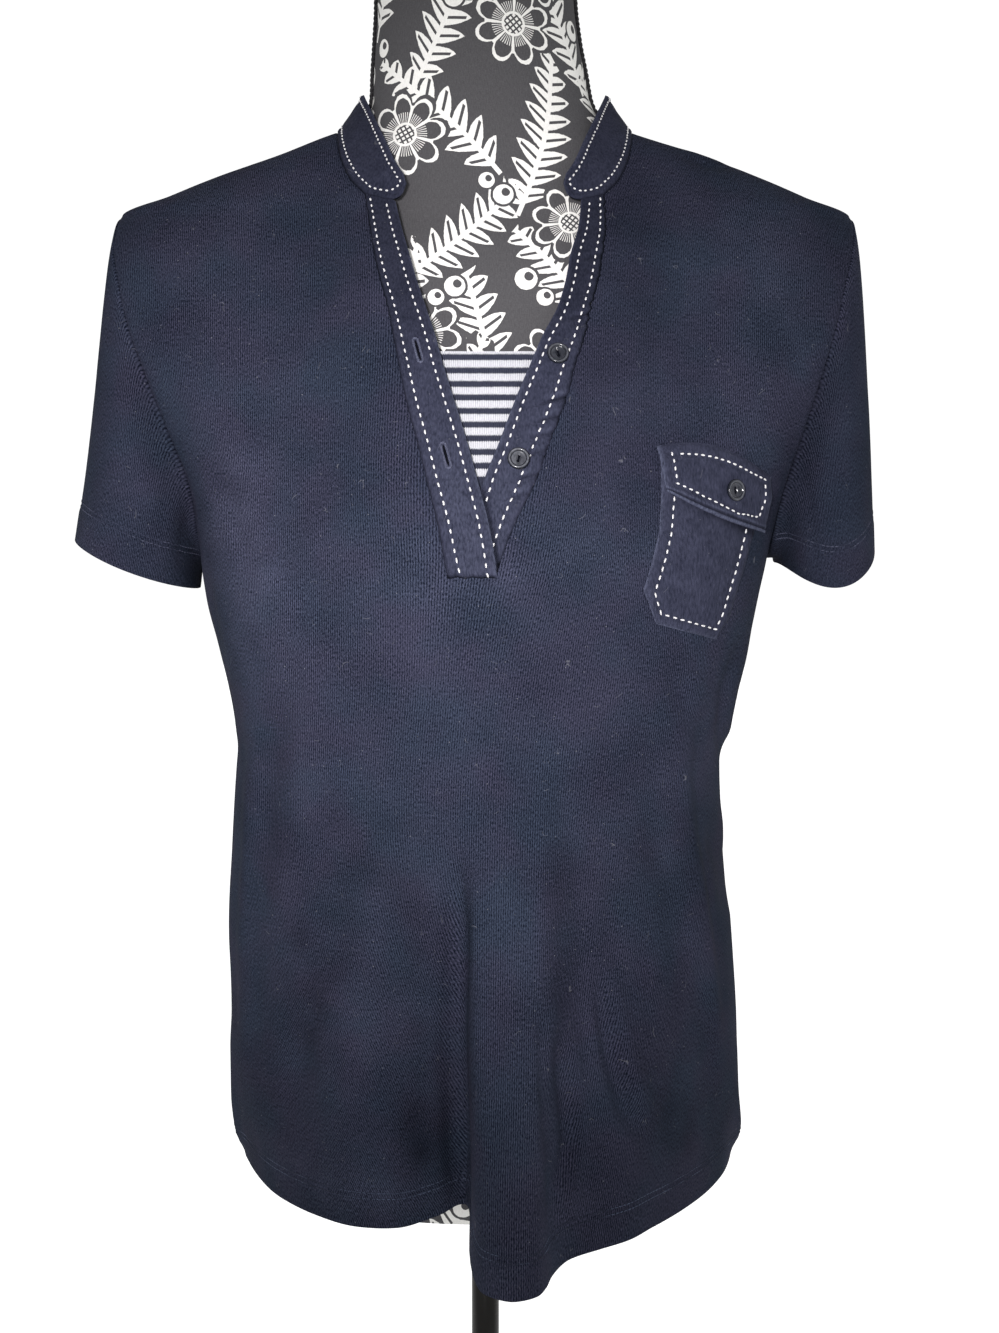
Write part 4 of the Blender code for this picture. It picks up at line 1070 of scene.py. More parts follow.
def armholePoint(side, turn):
    # a turn of 0 is the shoulder point, a quarter the front and a half the underarm
    height = armholeMiddle + armholeHalf * math.cos(turn)
    reach = shirt["armholeFront"] if math.sin(turn) > 0 else shirt["armholeBack"]
    return Vector((side * outline(side, height), -reach * math.sin(turn), height))


def armholeFrame(side, turn):
    # where the sleeve goes from the armhole seam, and the walls' shared direction there
    step = 0.01
    along = (armholePoint(side, turn + step) - armholePoint(side, turn - step)).normalized()
    face = -1 if math.sin(turn) > 0 else 1
    height = min(max(armholePoint(side, turn).z, shirt["underarm"] + 1), shirt["shoulder"] - 1)
    seamAngle = armholeAngle(side, face, height)
    nearAngle = 0.95 * seamAngle
    across = panelPoint(face, seamAngle, height) - panelPoint(face, nearAngle, height)
    rise = panelPoint(face, nearAngle, height + 1) - panelPoint(face, nearAngle, height - 1)
    panelNormal = across.cross(rise).normalized()
    panelNormal *= math.copysign(1, panelNormal.x * side)
    outwards = Vector((0, -math.sin(turn), math.cos(turn)))
    onwards = along.cross(panelNormal).normalized()
    onwards *= -math.copysign(1, onwards.dot(outwards))
    sideways = Vector((side, 0, -sleeves["underarmSlope"]))
    sideways = (sideways - along * sideways.dot(along)).normalized()
    away = onwards.lerp(sideways, (1 - math.cos(turn)) / 2).normalized()
    sleeveNormal = along.cross(away).normalized()
    sleeveNormal *= math.copysign(1, sleeveNormal.dot(outwards))
    wall = (panelNormal + sleeveNormal).normalized()
    if abs(math.sin(turn)) < 1e-6:
        wall.y = 0
        wall.normalize()
    return away, wall / max(0.6, wall.dot(panelNormal))


def inSeamPlane(normal):
    return Vector((normal.x, 0, normal.z)).normalized()


def panelWall(face, columns, sideColumns):
    def wall(column, row, normal):
        upper = row - shirt["lowerRows"]
        if column in (0, columns):
            side = face if column == 0 else -face
            return inSeamPlane(normal) if upper < 0 else armholeFrame(side, -face * upperTurn(upper))[1]
        onShoulder = upper == upperRows and not sideColumns < column < columns - sideColumns
        return inSeamPlane(normal) if onShoulder else normal

    return wall


sleeves = {
    "middle": {-1: (-198.9, 3, 955.5), 1: (194.5, 3, 960.5)}, "halfWidth": {-1: 34.1, 1: 27},
    "halfDepth": {-1: 58, 1: 61}, "tilt": {-1: 0.42, 1: 0.18}, "dip": {-1: 2, 1: 17},
    "fall": {-1: 0.18, 1: 0.04}, "rings": 56, "seamStraight": (3.5, 8), "cuffStraight": (75, 5),
    "underarmSlope": 0.25, "hemDepth": 21, "hemRaise": 0.45, "perimeter": 300, "waves": 1.2,
    "seamWidth": 0.012, "seamDip": 0.6, "foldFrom": 14, "foldTo": 60,
    # painted shade under the arm and along the armhole seam, and painted light over the whole sleeve and on
    # the head of the wearer's left sleeve
    "shade": {-1: 0.34, 1: 0.50}, "shadeTop": 1105, "shadeDrop": 75, "shadeReach": 48,
    "seamShade": 0.12, "pale": 0.02, "headPaintedLight": {-1: 0, 1: 0.26}, "headFrom": 1080, "headReach": 35,
}
# where round the sleeve a fold runs down it, in radians from the underarm, its depth and its width
sleeveFolds = table("at depth width", (
    (0.55, 1.6, 0.13), (0.95, 1.1, 0.10), (5.6, 1.3, 0.12), (5.2, 0.9, 0.10),
))


def sleevePlace(side):
    centre = Vector(sleeves["middle"][side])
    downwards = Vector((side * sleeves["fall"][side], 0, -1)).normalized()
    lines = {}

    def line(column):
        # the four points that shape one line from the armhole to the cuff
        if column not in lines:
            turn = math.pi * (1 + column / upperRows)
            away = armholeFrame(side, turn)[0]
            start = armholePoint(side, turn) + away * shirt["gap"]
            outer = sleeves["halfWidth"][side] * math.cos(turn)
            front = math.sin(turn)
            drop = sleeves["tilt"][side] * outer - sleeves["dip"][side] * front * abs(front)
            cuff = centre + Vector((side * outer, -sleeves["halfDepth"][side] * front, drop))
            under = (1 - math.cos(turn)) / 2
            first = start + away * mix(*sleeves["seamStraight"], abs(front))
            second = cuff - downwards * mix(*sleeves["cuffStraight"], under)
            lines[column] = start, first, second, cuff
        return lines[column]

    def place(column, row):
        start, first, second, cuff = line(column)
        t = row / sleeves["rings"]
        near = start * (1 - t) ** 3 + first * 3 * t * (1 - t) ** 2
        return near + second * 3 * t**2 * (1 - t) + cuff * t**3

    return place


def makeSleeve(side):
    place = sleevePlace(side)
    columns, rings = 2 * upperRows, sleeves["rings"]
    left = {}
    for column in range(columns + 1):
        upwards = [place(column, row) for row in range(rings, -1, -1)]
        for row, length in zip(range(rings, -1, -1), runningLengths(upwards)):
            left[column, row] = length

    def spread(column, row, point):
        return column / columns * sleeves["perimeter"], left[column, row]

    def relief(column, row, point):
        edge, around = left[column, row], math.pi * column / upperRows
        ends = smooth(row / sleeves["foldFrom"]) * smooth(edge / sleeves["foldTo"])
        fold = 0.0
        for each in sleeveFolds:
            fold -= each["depth"] * bell(around - each["at"], each["width"]) * ends
        seam = bell(around, sleeves["seamWidth"]) + bell(math.tau - around, sleeves["seamWidth"])
        raised = hemRelief(edge, sleeves["hemDepth"], sleeves["hemRaise"])
        uneven = softWaves(Vector((point.y, 0, point.z)), 11.0 + side) * sleeves["waves"]
        return fold + raised + uneven - sleeves["seamDip"] * seam

    def wall(column, row, normal):
        return normal if row else armholeFrame(side, math.pi * (1 + column / upperRows))[1]

    def shade(column, row, point):
        # painted shade under the arm and along the armhole seam, and painted light over the whole sleeve and
        # on the head of the wearer's left sleeve
        near = smooth(1 - (left[column, 0] - left[column, row]) / sleeves["shadeReach"])
        low = smooth((sleeves["shadeTop"] - point.z) / sleeves["shadeDrop"])
        head = smooth((point.z - sleeves["headFrom"]) / sleeves["headReach"])
        dark = sleeves["seamShade"] * bell(row, 0.7) + sleeves["shade"][side] * near * low
        return sleeves["pale"] - dark + sleeves["headPaintedLight"][side] * head

    return cloth(
        "sleeve_" + sideName(side) + "_cloth", columns, rings, place, "knit",
        wall=shirt["wall"], ring=True, flip=side < 0, turnWall=wall, relief=relief,
        seamCells=lambda column, row: row, spread=spread, wear=shade,
    )


print("making the body panels")
frontPiece = cloth(
    "front_panel_cloth", frontColumns, allRows, frontPlace, "knit", wall=shirt["wall"],
    keep=frontKeep, turnWall=panelWall(-1, frontColumns, shirt["sideColumns"]), relief=frontRelief,
    seamCells=frontSeamCells, spread=frontUv, wear=frontWearAndPaintedLight,
)
backPiece = cloth(
    "back_panel_cloth", backColumns, allRows, backPlace, "knit", wall=shirt["wall"],
    turnWall=panelWall(1, backColumns, shirt["backSideColumns"]), relief=backRelief,
    seamCells=backSeamCells, spread=backUv,
    # painted shade along the back's side seams, armholes, shoulders and neck
    wear=lambda column, row, point: -0.6 * bell(min(column, backColumns - column, allRows - row), 0.8),
)
print("making the sleeves")
sleevePieces = {side: makeSleeve(side) for side in (-1, 1)}


# the neckband stands up from the neck seam
neckband = {
    "wall": 1.6, "backDepth": 74.5, "backEdge": 1210, "backRounding": 0.75, "endSteps": 30, "rows": 20,
    "stitchInset": 4.6, "stitchPitch": 3.3, "stitchLength": 1.6, "overlap": 0.5, "puckerPitch": 8.8,
    # the last keys: how pale the free edge and the ends are, the painted shade along the seam, and how much
    # darker the whole band is
    "crumple": 0.3, "puckers": 0.45, "edgePale": 0.6, "seamPaintedShade": -0.8, "endPale": 0.6, "wear": -0.22,
}
collar = table("seamX seamZ edgeX edgeDepth edgeZ low high", (
    (46.3, 1150.2, 39.6, 57.3, 1162.6, 0.36, 0.47), (47, 1150.4, 40, 57, 1163, 0.2, 0.62),
    (49.5, 1151, 41.5, 56, 1164.5, 0.05, 0.86), (54, 1152.2, 43.5, 54, 1167, 0, 0.98),
    (64, 1155, 48.5, 50, 1174.5, 0, 1), (72.6, 1164.7, 53, 42.5, 1185, 0, 1),
    (79, 1179.2, 61, 24, 1203, 0, 1), (82.4, 1197, 68.2, 0, 1219.5, 0, 1),
))


def collarStations():
    # seam and free-edge points from the wearer's left front end round the back
    seams = []
    for step in range(neckband["endSteps"]):
        x = mix(collar[0]["seamX"], neckline[0]["halfWidth"], (step / neckband["endSteps"]) ** 1.25)
        seams.append(frontPoint(x, read(collar, "seamZ", x, "seamX")))
    innerColumn = shirt["sideColumns"] + shirt["middleColumns"]
    for row in range(shirt["placketRows"], upperRows + 1):
        seams.append(frontPlace(innerColumn, shirt["lowerRows"] + row))
    seams[-1].y = 0.0
    stations = []
    for seam in seams:
        edgeX, depth, edgeZ, low, high = [
            read(collar, name, seam.x, "seamX") for name in ("edgeX", "edgeDepth", "edgeZ", "low", "high")
        ]
        stations.append((seam, Vector((edgeX, -depth, edgeZ)), low, high))
    mirrored = []
    for seam, edge, low, high in reversed(stations):
        mirrored.append((Vector((-seam.x, seam.y, seam.z)), Vector((-edge.x, edge.y, edge.z)), low, high))
    for step in range(1, shirt["backNeckColumns"]):
        turn = math.pi * step / shirt["backNeckColumns"]
        seam = backPlace(shirt["backSideColumns"] + step, allRows)
        edge = Vector((
            collar[-1]["edgeX"] * math.cos(turn),
            neckband["backDepth"] * math.sin(turn) ** neckband["backRounding"],
            mix(collar[-1]["edgeZ"], neckband["backEdge"], math.sin(turn)),
        ))
        stations.append((seam, edge, 0.0, 1.0))
    return stations + mirrored


print("making the neckband")
stations = collarStations()
bandLengths = runningLengths([(seam + edge) / 2 for seam, edge, low, high in stations])
bandLength = bandLengths[-1]


def bandCell(along):
    return bisect.bisect_right(bandLengths, max(0.0, min(bandLength - 0.01, along))) - 1


def bandPoint(along, across):
    # a point by millimetres from the wearer's left end and from the seam
    at = bandCell(along)
    step = bandLengths[at + 1] - bandLengths[at]
    share = (along - bandLengths[at]) / step
    seam = stations[at][0].lerp(stations[at + 1][0], share)
    edge = stations[at][1].lerp(stations[at + 1][1], share)
    return seam + (edge - seam) * (across / (edge - seam).length)


def bandWidth(along):
    seam, edge = stations[bandCell(along)][:2]
    return (edge - seam).length


def collarPlace(column, row):
    seam, edge, low, high = stations[column]
    up = (edge - seam).normalized()
    return seam - up * neckband["overlap"] + (edge - seam) * mix(low, high, row / neckband["rows"])


def stitchedEdge(fromEdge, inset, along, pitch):
    # how an edge turned in and stitched down stands up, away from the edge
    groove = bell(fromEdge - inset, 1.0)
    puff = 0.42 * smooth(fromEdge / 2.0) * smooth((inset - fromEdge) / 1.6)
    roll = -0.55 * (1 - smooth(fromEdge / 1.3))
    pucker = 0.13 * math.sin(math.tau * along / pitch) * bell(fromEdge - inset * 0.7, inset * 0.55)
    return puff + roll + pucker - 0.28 * groove


def collarRelief(column, row, point):
    seam, edge, low, high = stations[column]
    width = (edge - seam).length
    across = mix(low, high, row / neckband["rows"]) * width
    along = bandLengths[column]
    end = min(along, bandLength - along)
    toEdge = min(width - across, across, end + 1.2)
    crumple = neckband["crumple"] * noise.noise(Vector((along / 9, across / 14, 3.0)))
    puckers = neckband["puckers"] * noise.noise(Vector((along / 3.4, across / 30, 6.0)))
    edge = stitchedEdge(toEdge, neckband["stitchInset"], along, neckband["puckerPitch"])
    return edge + crumple + puckers * bell(toEdge - 7.0, 4.5)


def collarPaleAndPaintedShade(column, row, point):
    # pale at the free edge and the ends, painted shade along the seam, and the whole band a little darker
    up = row / neckband["rows"]
    fromEnd = min(column, bandColumns - column)
    worn = neckband["edgePale"] * bell(1 - up, 0.06) + neckband["seamPaintedShade"] * bell(up, 0.04)
    return worn + neckband["wear"] + neckband["endPale"] * bell(fromEnd, 1.2)


bandColumns = len(stations) - 1
bandPiece = cloth(
    "neckband_cloth", bandColumns, neckband["rows"], collarPlace, "woven",
    wall=neckband["wall"], relief=collarRelief, wear=collarPaleAndPaintedShade,
    spread=lambda column, row, point: (bandLengths[column], row),
)


# the placket strips: -1 is the wearer's right, with the buttonholes, and 1 the left
strips = {
    "wall": 1.5, "columns": 24, "rows": 200, "tuck": 2.1, "tuckFrom": 1035, "tuckTo": 998,
    "innerRow": {-1: 5.1, 1: 4.6}, "overlap": 0.5, "lift": 0.35, "waver": {-1: 0.5, 1: 1.5},
    "footWaver": 0.7, "footDrop": 0.4, "puckerPitch": 9.2, "wrinkleSlope": 0.25, "crumple": 0.3,
    "topShade": {-1: 0.38, 1: 0.46}, "shadeFrom": 1050, "shadeReach": 55,
    "stitches": {"top": {"pitch": 4, "length": 1.75}, "foot": {"pitch": 5.2, "length": 2.7}},
}
# across the wearer's left strip, from its seam
wrinkles = table("height depth", (
    (1044, 1.5), (1034, 1.2), (1025, 0.9), (1016, 1), (1004, 1.1), (994, 0.7), (1088, 0.9), (1120, 0.6),
))
# where the outer stitch row runs, as a share of the strip's width from its seam
stitchRows = table("height right left", (
    (951, 0.262, 0.35), (967, 0.24, 0.34), (989, 0.222, 0.345), (1012, 0.212, 0.325), (1052, 0.215, 0.265),
    (1130, 0.17, 0.22), (1155, 0.17, 0.2),
))


def stripEnds(side, height):
    # the seam side laps over the knit a little
    name = sideName(side)
    seam = read(placket, name + "Seam", height) + side * strips["overlap"]
    return seam, read(placket, name + "Edge", height)


def stripSpot(side, fromSeam, up):
    # a point by its share of the strip's width from the seam and of its height from the foot
    seam, edge = stripEnds(side, shirt["placketTop"])
    topX = abs(mix(seam, edge, fromSeam))
    top = read(collar, "seamZ", topX, "seamX") - shirt["gap"]
    height = mix(shirt["placketFoot"] - strips["footDrop"] * (side < 0), top, up)
    seam, edge = stripEnds(side, height)
    x = mix(seam, edge, fromSeam)
    waver = strips["waver"][side] * noise.noise(Vector((height / 2.6, 9.0, 0.0)))
    x += waver * (1 - fromSeam) ** 6
    if side < 0:
        height += strips["footWaver"] * noise.noise(Vector((x / 4.0, 3.0, 0.0))) * (1 - up) ** 12
    tucked = smooth((strips["tuckFrom"] - height) / (strips["tuckFrom"] - strips["tuckTo"]))
    return lifted(x, height, strips["lift"] - strips["tuck"] * tucked * (side > 0))


def stripShare(side, column):
    share = column / strips["columns"]
    return share if side < 0 else 1 - share


def stripRelief(side):
    def relief(column, row, point):
        seam, edge = stripEnds(side, point.z)
        width = abs(edge - seam)
        fromSeam = stripShare(side, column) * width
        rowAt = read(stitchRows, sideName(side), point.z) * width
        pitch, innerRow = strips["puckerPitch"], strips["innerRow"][side]
        outer = stitchedEdge(fromSeam, rowAt, point.z, pitch)
        inner = stitchedEdge(width - fromSeam, innerRow, point.z + 3.0, pitch)
        seamPucker = 0.2 * math.sin(point.z / 1.6) * bell(fromSeam - 3.0, 3.0) if side > 0 else 0.0
        crumple = strips["crumple"] * noise.noise(Vector((fromSeam / 11, point.z / 12, 20.0 + side)))
        footRoll = -0.7 * (1 - smooth((point.z - shirt["placketFoot"]) / 1.6)) if side < 0 else 0.0
        wrinkled, reach = 0.0, smooth((0.75 * width - fromSeam) / 8.0) * (side > 0)
        for wrinkle in wrinkles:
            slope = wrinkle["height"] - point.z - strips["wrinkleSlope"] * fromSeam
            wrinkled -= wrinkle["depth"] * bell(slope, 1.5) * reach
        return outer + inner + seamPucker + crumple + footRoll + wrinkled

    return relief


def stripPaintedLight(side):
    # painted shade where it is sewn down and a painted shadow where the other strip lies on it, pale along
    # its free edge, paler low in its middle, painted shade at its top, and painted shade and light over its
    # wrinkles
    def wear(column, row, point):
        share = stripShare(side, column)
        worn = 0.65 * bell(1 - share, 0.05) - 0.75 * bell(share, 0.035)
        worn += 0.22 * smooth((strips["shadeFrom"] - point.z) / 60) * bell(share - 0.5, 0.4)
        worn -= strips["topShade"][side] * smooth((point.z - strips["shadeFrom"]) / strips["shadeReach"])
        if side < 0:
            # painted shade along the foot of the wearer's right strip
            return worn - 1.3 * bell(row, 1.1)
        # a painted shadow of the other strip's edge
        shaded = bell(point.x - read(placket, "rightEdge", point.z) - 0.9, 1.1)
        # dark scallops along the seam, painted shade
        seamShadeScallops = 0.5 + 0.5 * noise.noise(Vector((point.z / 2.2, 7.0, 0.0)))
        worn -= 0.5 * seamShadeScallops * bell(share, 0.07)
        fromSeam = share * abs(read(placket, "leftSeam", point.z) - read(placket, "leftEdge", point.z))
        reach = smooth((14.0 - fromSeam) / 8.0)
        for wrinkle in wrinkles:
            slope = wrinkle["height"] - point.z - strips["wrinkleSlope"] * fromSeam
            # painted shade in each wrinkle and painted light just above it
            lines = 0.45 * bell(slope + 2.6, 1.3) - bell(slope, 0.75)
            worn += 0.42 * wrinkle["depth"] * reach * lines
        return worn - shaded * smooth((strips["tuckFrom"] - point.z) / 30.0)

    return wear


print("making the placket")
for side in (-1, 1):
    cloth(
        "placket_" + sideName(side) + "_cloth", strips["columns"], strips["rows"],
        lambda column, row, side=side: stripSpot(side, stripShare(side, column), row / strips["rows"]),
        "woven", wall=strips["wall"], relief=stripRelief(side), wear=stripPaintedLight(side),
        spread=flatSpread,
    )

inset = {
    "top": 1069.6, "foot": 957, "margin": 3, "leastWidth": 12, "behind": 5, "wall": 1.2,
    "columns": 60, "rows": 120, "rim": 6, "rimRaise": 0.3, "bandPitch": 7.1, "bandRaise": 0.12,
    "crumple": 0.4,
}


def insetPlace(column, row):
    share = column / inset["columns"]
    height = mix(inset["foot"], inset["top"], row / inset["rows"])
    low = read(placket, "rightSeam", height) + inset["margin"]
    high = max(read(placket, "leftSeam", height) - inset["margin"], low + inset["leastWidth"])
    return lifted(mix(low, high, share), height, -inset["behind"])


def insetRelief(column, row, point):
    fromTop = inset["top"] - point.z
    rim = inset["rimRaise"] * smooth((inset["rim"] - fromTop) / 2.5) - 0.4 * (1 - smooth(fromTop))
    bands = inset["bandRaise"] * math.cos(math.tau * (fromTop - 2.0) / inset["bandPitch"])
    return rim + bands + inset["crumple"] * noise.noise(Vector((point.x / 16, point.z / 16, 30.0)))


insetPiece = cloth(
    "striped_inset_cloth", inset["columns"], inset["rows"], insetPlace, "stripe",
    wall=inset["wall"], relief=insetRelief, spread=flatSpread,
)


# the pocket and its flap, from the foot up, by their right and left edges
pocketRows = table("rightX rightZ leftX leftZ", (
    (87.7, 926.8, 121.4, 917.4), (81, 944.3, 129, 929), (85.2, 957, 134, 945),
    (89.5, 975, 140, 963), (90.7, 992, 145, 980), (90.6, 1009, 149, 996),
))
flapRows = table("rightX rightZ leftX leftZ bulge", (
    (92.4, 994, 146, 973.5, -2.5), (90.8, 1002, 148.6, 983, 1.6),
    (89.5, 1010, 151, 993, 5), (88.4, 1018, 152, 1003, 8),
))
pocket = {
    "wall": 1.3, "columns": 48, "rows": 72, "lift": 1.7, "width": 50, "height": 84, "puckerPitch": 9.4,
    "edgeDrop": 0.6, "belly": 1.1, "crumple": 0.5, "edgePale": 0.7, "flapShade": 0.75,
    "stitchInset": 6, "stitchedWidth": 52, "stitchFoot": 0.075, "stitchTop": 0.99, "stitchPitch": 4.7,
    "stitchLength": 2.6,
}
flap = {
    "rows": 48, "seamLift": 2.3, "lift": 4.2, "freeLift": 0.5, "width": 62, "height": 27, "puckerPitch": 9,
    "crumple": 0.45, "creaseWidth": 0.022, "stitchInset": 5.6, "stitchPitch": 4, "stitchLength": 2.2,
    "stitchCorners": (
        (0.11, 0.80), (0.12, 0.26), (0.69, 0.14), (0.90, 0.22), (0.93, 0.5), (0.92, 0.86), (0.80, 0.83),
        (0.11, 0.80),
    ),
}
# down the flap, by their share of its width
flapCreases = table("at depth", ((0.17, 0.35), (0.28, 0.5), (0.36, 0.45), (0.46, 0.3), (0.83, 0.4)))


def patchSpot(rows, across, up, lift):
    # across and up run from 0 to 1 over the patch
    at = up * (len(rows) - 1)
    low = min(int(at), len(rows) - 2)
    a, b = rows[low], rows[low + 1]
    edge = {name: mix(a[name], b[name], at - low) for name in a}
    x = mix(edge["rightX"], edge["leftX"], across)
    z = mix(edge["rightZ"], edge["leftZ"], across)
    z += edge.get("bulge", 0.0) * math.sin(math.pi * across)
    return lifted(x, z, lift)


def flapLift(up):
    seam = smooth((1 - up) / 0.35)
    return mix(flap["seamLift"], flap["lift"], seam) + flap["freeLift"] * (1 - up) ** 2


def pocketRelief(column, row, point):
    across, up = column / pocket["columns"], row / pocket["rows"]
    fromSides = min(across, 1 - across) * pocket["width"]
    fromFoot = up * pocket["height"]
    toEdge, along = min(fromSides, fromFoot), point.z if fromSides < fromFoot else point.x
    edge = stitchedEdge(toEdge, pocket["stitchInset"], along, pocket["puckerPitch"])
    down = -pocket["edgeDrop"] * (1 - smooth(toEdge / 3.0))
    belly = pocket["belly"] * math.sin(math.pi * across) * smooth(up / 0.5)
    crumple = pocket["crumple"] * noise.noise(Vector((point.x / 14, point.z / 16, 40.0)))
    return edge + down + belly + crumple


def pocketPaleEdgeAndPaintedFlapShadow(column, row, point):
    # a painted shadow of the flap just below it, and pale round its edge
    across = column / pocket["columns"]
    below = mix(flapRows[0]["rightZ"], flapRows[0]["leftZ"], across) - point.z
    pale = pocket["edgePale"] * bell(min(column, pocket["columns"] - column, row), 0.8)
    return pale - pocket["flapShade"] * across * bell(below - 1.0, 2.6)


def flapPaintedLight(column, row, point):
    # painted highlights on two ridges along the free edge with painted shade in the groove between them, and
    # pale along the sides
    out = row * flap["height"] / flap["rows"]
    edge = 0.8 * bell(min(column, pocket["columns"] - column), 1.0)
    return edge + 0.9 * bell(out - 0.7, 0.5) + 0.45 * bell(out - 3.0, 0.5) - 0.9 * bell(out - 1.9, 0.4)


def flapRelief(column, row, point):
    across, up = column / pocket["columns"], row / flap["rows"]
    fromSides, out = min(across, 1 - across) * flap["width"], up * flap["height"]
    fromEnds = min(out, (1 - up) * flap["height"])
    along = point.x if fromEnds < fromSides else point.z
    edge = stitchedEdge(min(fromSides, fromEnds), flap["stitchInset"], along, flap["puckerPitch"])
    hem = 0.4 * bell(out - 0.8, 0.6) - 0.4 * bell(out - 1.9, 0.5) + 0.2 * bell(out - 3.0, 0.8)
    ends = smooth((0.85 - up) / 0.3) * smooth((up - 0.12) / 0.2)
    creases = 0.0
    for crease in flapCreases:
        creases -= crease["depth"] * bell(across - crease["at"], flap["creaseWidth"]) * ends
    crumple = flap["crumple"] * noise.noise(Vector((point.x / 12, point.z / 12, 50.0)))
    return edge + hem + creases + crumple


def pocketPlace(column, row):
    return patchSpot(pocketRows, column / pocket["columns"], row / pocket["rows"], pocket["lift"])


def flapPlace(column, row):
    up = row / flap["rows"]
    return patchSpot(flapRows, column / pocket["columns"], up, flapLift(up))


print("making the pocket")
pocketPiece = cloth(
    "pocket_cloth", pocket["columns"], pocket["rows"], pocketPlace, "woven",
    wall=pocket["wall"], relief=pocketRelief, wear=pocketPaleEdgeAndPaintedFlapShadow,
    spread=flatSpread,
)
flapPiece = cloth(
    "pocket_flap_cloth", pocket["columns"], flap["rows"], flapPlace, "woven",
    wall=pocket["wall"], relief=flapRelief, wear=flapPaintedLight,
    spread=flatSpread,
)


# white stitches on the woven pieces, and the hem's thread
stitch = {
    "width": 1.02, "height": 0.9, "lift": 0.12, "loose": 0.09,
    "hemLength": 2.2, "hemWidth": 0.55, "hemHeight": 0.45, "hemLift": 0.05, "hemLoose": 0.1,
    "hemPitch": 2.7, "hemGap": 2.9, "hemEnd": 89.5,
}


def walk(path, pitch, lastPitch=None):
    # points every pitch along a fine polyline, each with its direction
    spots, left = [], 0.0
    for at, (a, b) in enumerate(zip(path, path[1:])):
        length = (b - a).length
        while left < length:
            spots.append((a.lerp(b, left / length), (b - a) / length))
            left += mix(pitch, lastPitch or pitch, at / len(path))
        left -= length
    return spots


def beadMesh(segments, rings):
    bead = bmesh.new()
    bmesh.ops.create_uvsphere(bead, u_segments=segments, v_segments=rings, radius=0.5)
    for vert in bead.verts:
        # fuller at its ends than a ball
        vert.co.x = math.copysign(0.5 * abs(2 * vert.co.x) ** 0.6, vert.co.x)
    mesh = bpy.data.meshes.new("bead")
    bead.to_mesh(mesh)
    bead.free()
    return mesh


bead = beadMesh(10, 6)


def stamp(body, mesh, place):
    mesh.transform(place)
    body.from_mesh(mesh)
    mesh.transform(place.inverted())


def sew(body, tree, spots, length, width, height, lift, loose=0.0, lastLength=None):
    for at, (spot, ahead) in enumerate(spots):
        found, normal, _, _ = tree.find_nearest(spot)
        ahead = (ahead - normal * ahead.dot(normal)).normalized()
        aside = normal.cross(ahead)
        sway = random.uniform(-loose, loose)
        first = ahead * math.cos(sway) + aside * math.sin(sway)
        second = aside * math.cos(sway) - ahead * math.sin(sway)
        place = Matrix.Translation(found + normal * lift)
        turn = Matrix((first, second, normal)).transposed().to_4x4()
        long = mix(length, lastLength or length, at / len(spots)) * random.uniform(1 - loose, 1 + loose)
        shape = Matrix.Diagonal((long, width, height, 1.0))
        stamp(body, bead, place @ turn @ shape)


def sewWhite(name, rows):
    # each row is a cloth, its path, pitch and length, and the pitch and length at its end
    body = bmesh.new()
    for cloth, path, pitch, length, lastPitch, lastLength in rows:
        sizes = (length, stitch["width"], stitch["height"], stitch["lift"], stitch["loose"], lastLength)
        sew(body, trees[cloth], walk(path, pitch, lastPitch), *sizes)
    return finishMesh(name, body, looks["whiteThread"], "navy_woven")


def bandStitchPath():
    # both rows of the neckband, joined round its ends
    gap, roundEnd = neckband["stitchInset"], 16
    middle = bandWidth(8.0) / 2
    endRadius = middle - gap
    start, stop = gap + endRadius, bandLength - gap - endRadius
    count = int(stop - start)
    path = [bandPoint(mix(start, stop, i / count), gap) for i in range(count + 1)]
    for i in range(1, roundEnd):
        turn = math.pi * i / roundEnd
        path.append(bandPoint(stop + endRadius * math.sin(turn), middle - endRadius * math.cos(turn)))
    for i in range(count + 1):
        along = mix(stop, start, i / count)
        path.append(bandPoint(along, bandWidth(along) - gap))
    for i in range(1, roundEnd + 1):
        turn = math.pi * i / roundEnd
        path.append(bandPoint(start - endRadius * math.sin(turn), middle + endRadius * math.cos(turn)))
    return path


def stripStitchPath(side, inner, low, high):
    path, steps = [], 120
    for i in range(steps + 1):
        up = mix(low, high, i / steps)
        height = mix(shirt["placketFoot"], shirt["placketTop"], up)
        seam, edge = stripEnds(side, height)
        outer = read(stitchRows, sideName(side), height)
        share = 1 - strips["innerRow"][side] / abs(edge - seam) if inner else outer
        path.append(stripSpot(side, share, up))
    return path


print("sewing")
pitch, length = neckband["stitchPitch"], neckband["stitchLength"]
bandRow = ("neckband_cloth", bandStitchPath(), pitch, length, pitch, length)
bandStitches = sewWhite("neckbandStitches", [bandRow])

stripRows, foot, top = [], strips["stitches"]["foot"], strips["stitches"]["top"]
stripRuns = table("side inner low high", (
    (-1, False, 0.018, 0.993), (-1, True, 0.006, 0.983), (1, False, 0.082, 0.993), (1, True, 0.2, 0.983),
))
for run in stripRuns:
    name, path = "placket_" + sideName(run["side"]) + "_cloth", stripStitchPath(**run)
    stripRows.append((name, path, foot["pitch"], foot["length"], top["pitch"], top["length"]))
stripStitches = sewWhite("placketStitches", stripRows)


def patchPath(rows, corners, steps, liftAt):
    # a fine path over a patch from corner to corner, short of the last
    path = []
    for (a, b), (c, d) in zip(corners, corners[1:]):
        for i in range(steps):
            up = mix(b, d, i / steps)
            path.append(patchSpot(rows, mix(a, c, i / steps), up, liftAt(up)))
    return path


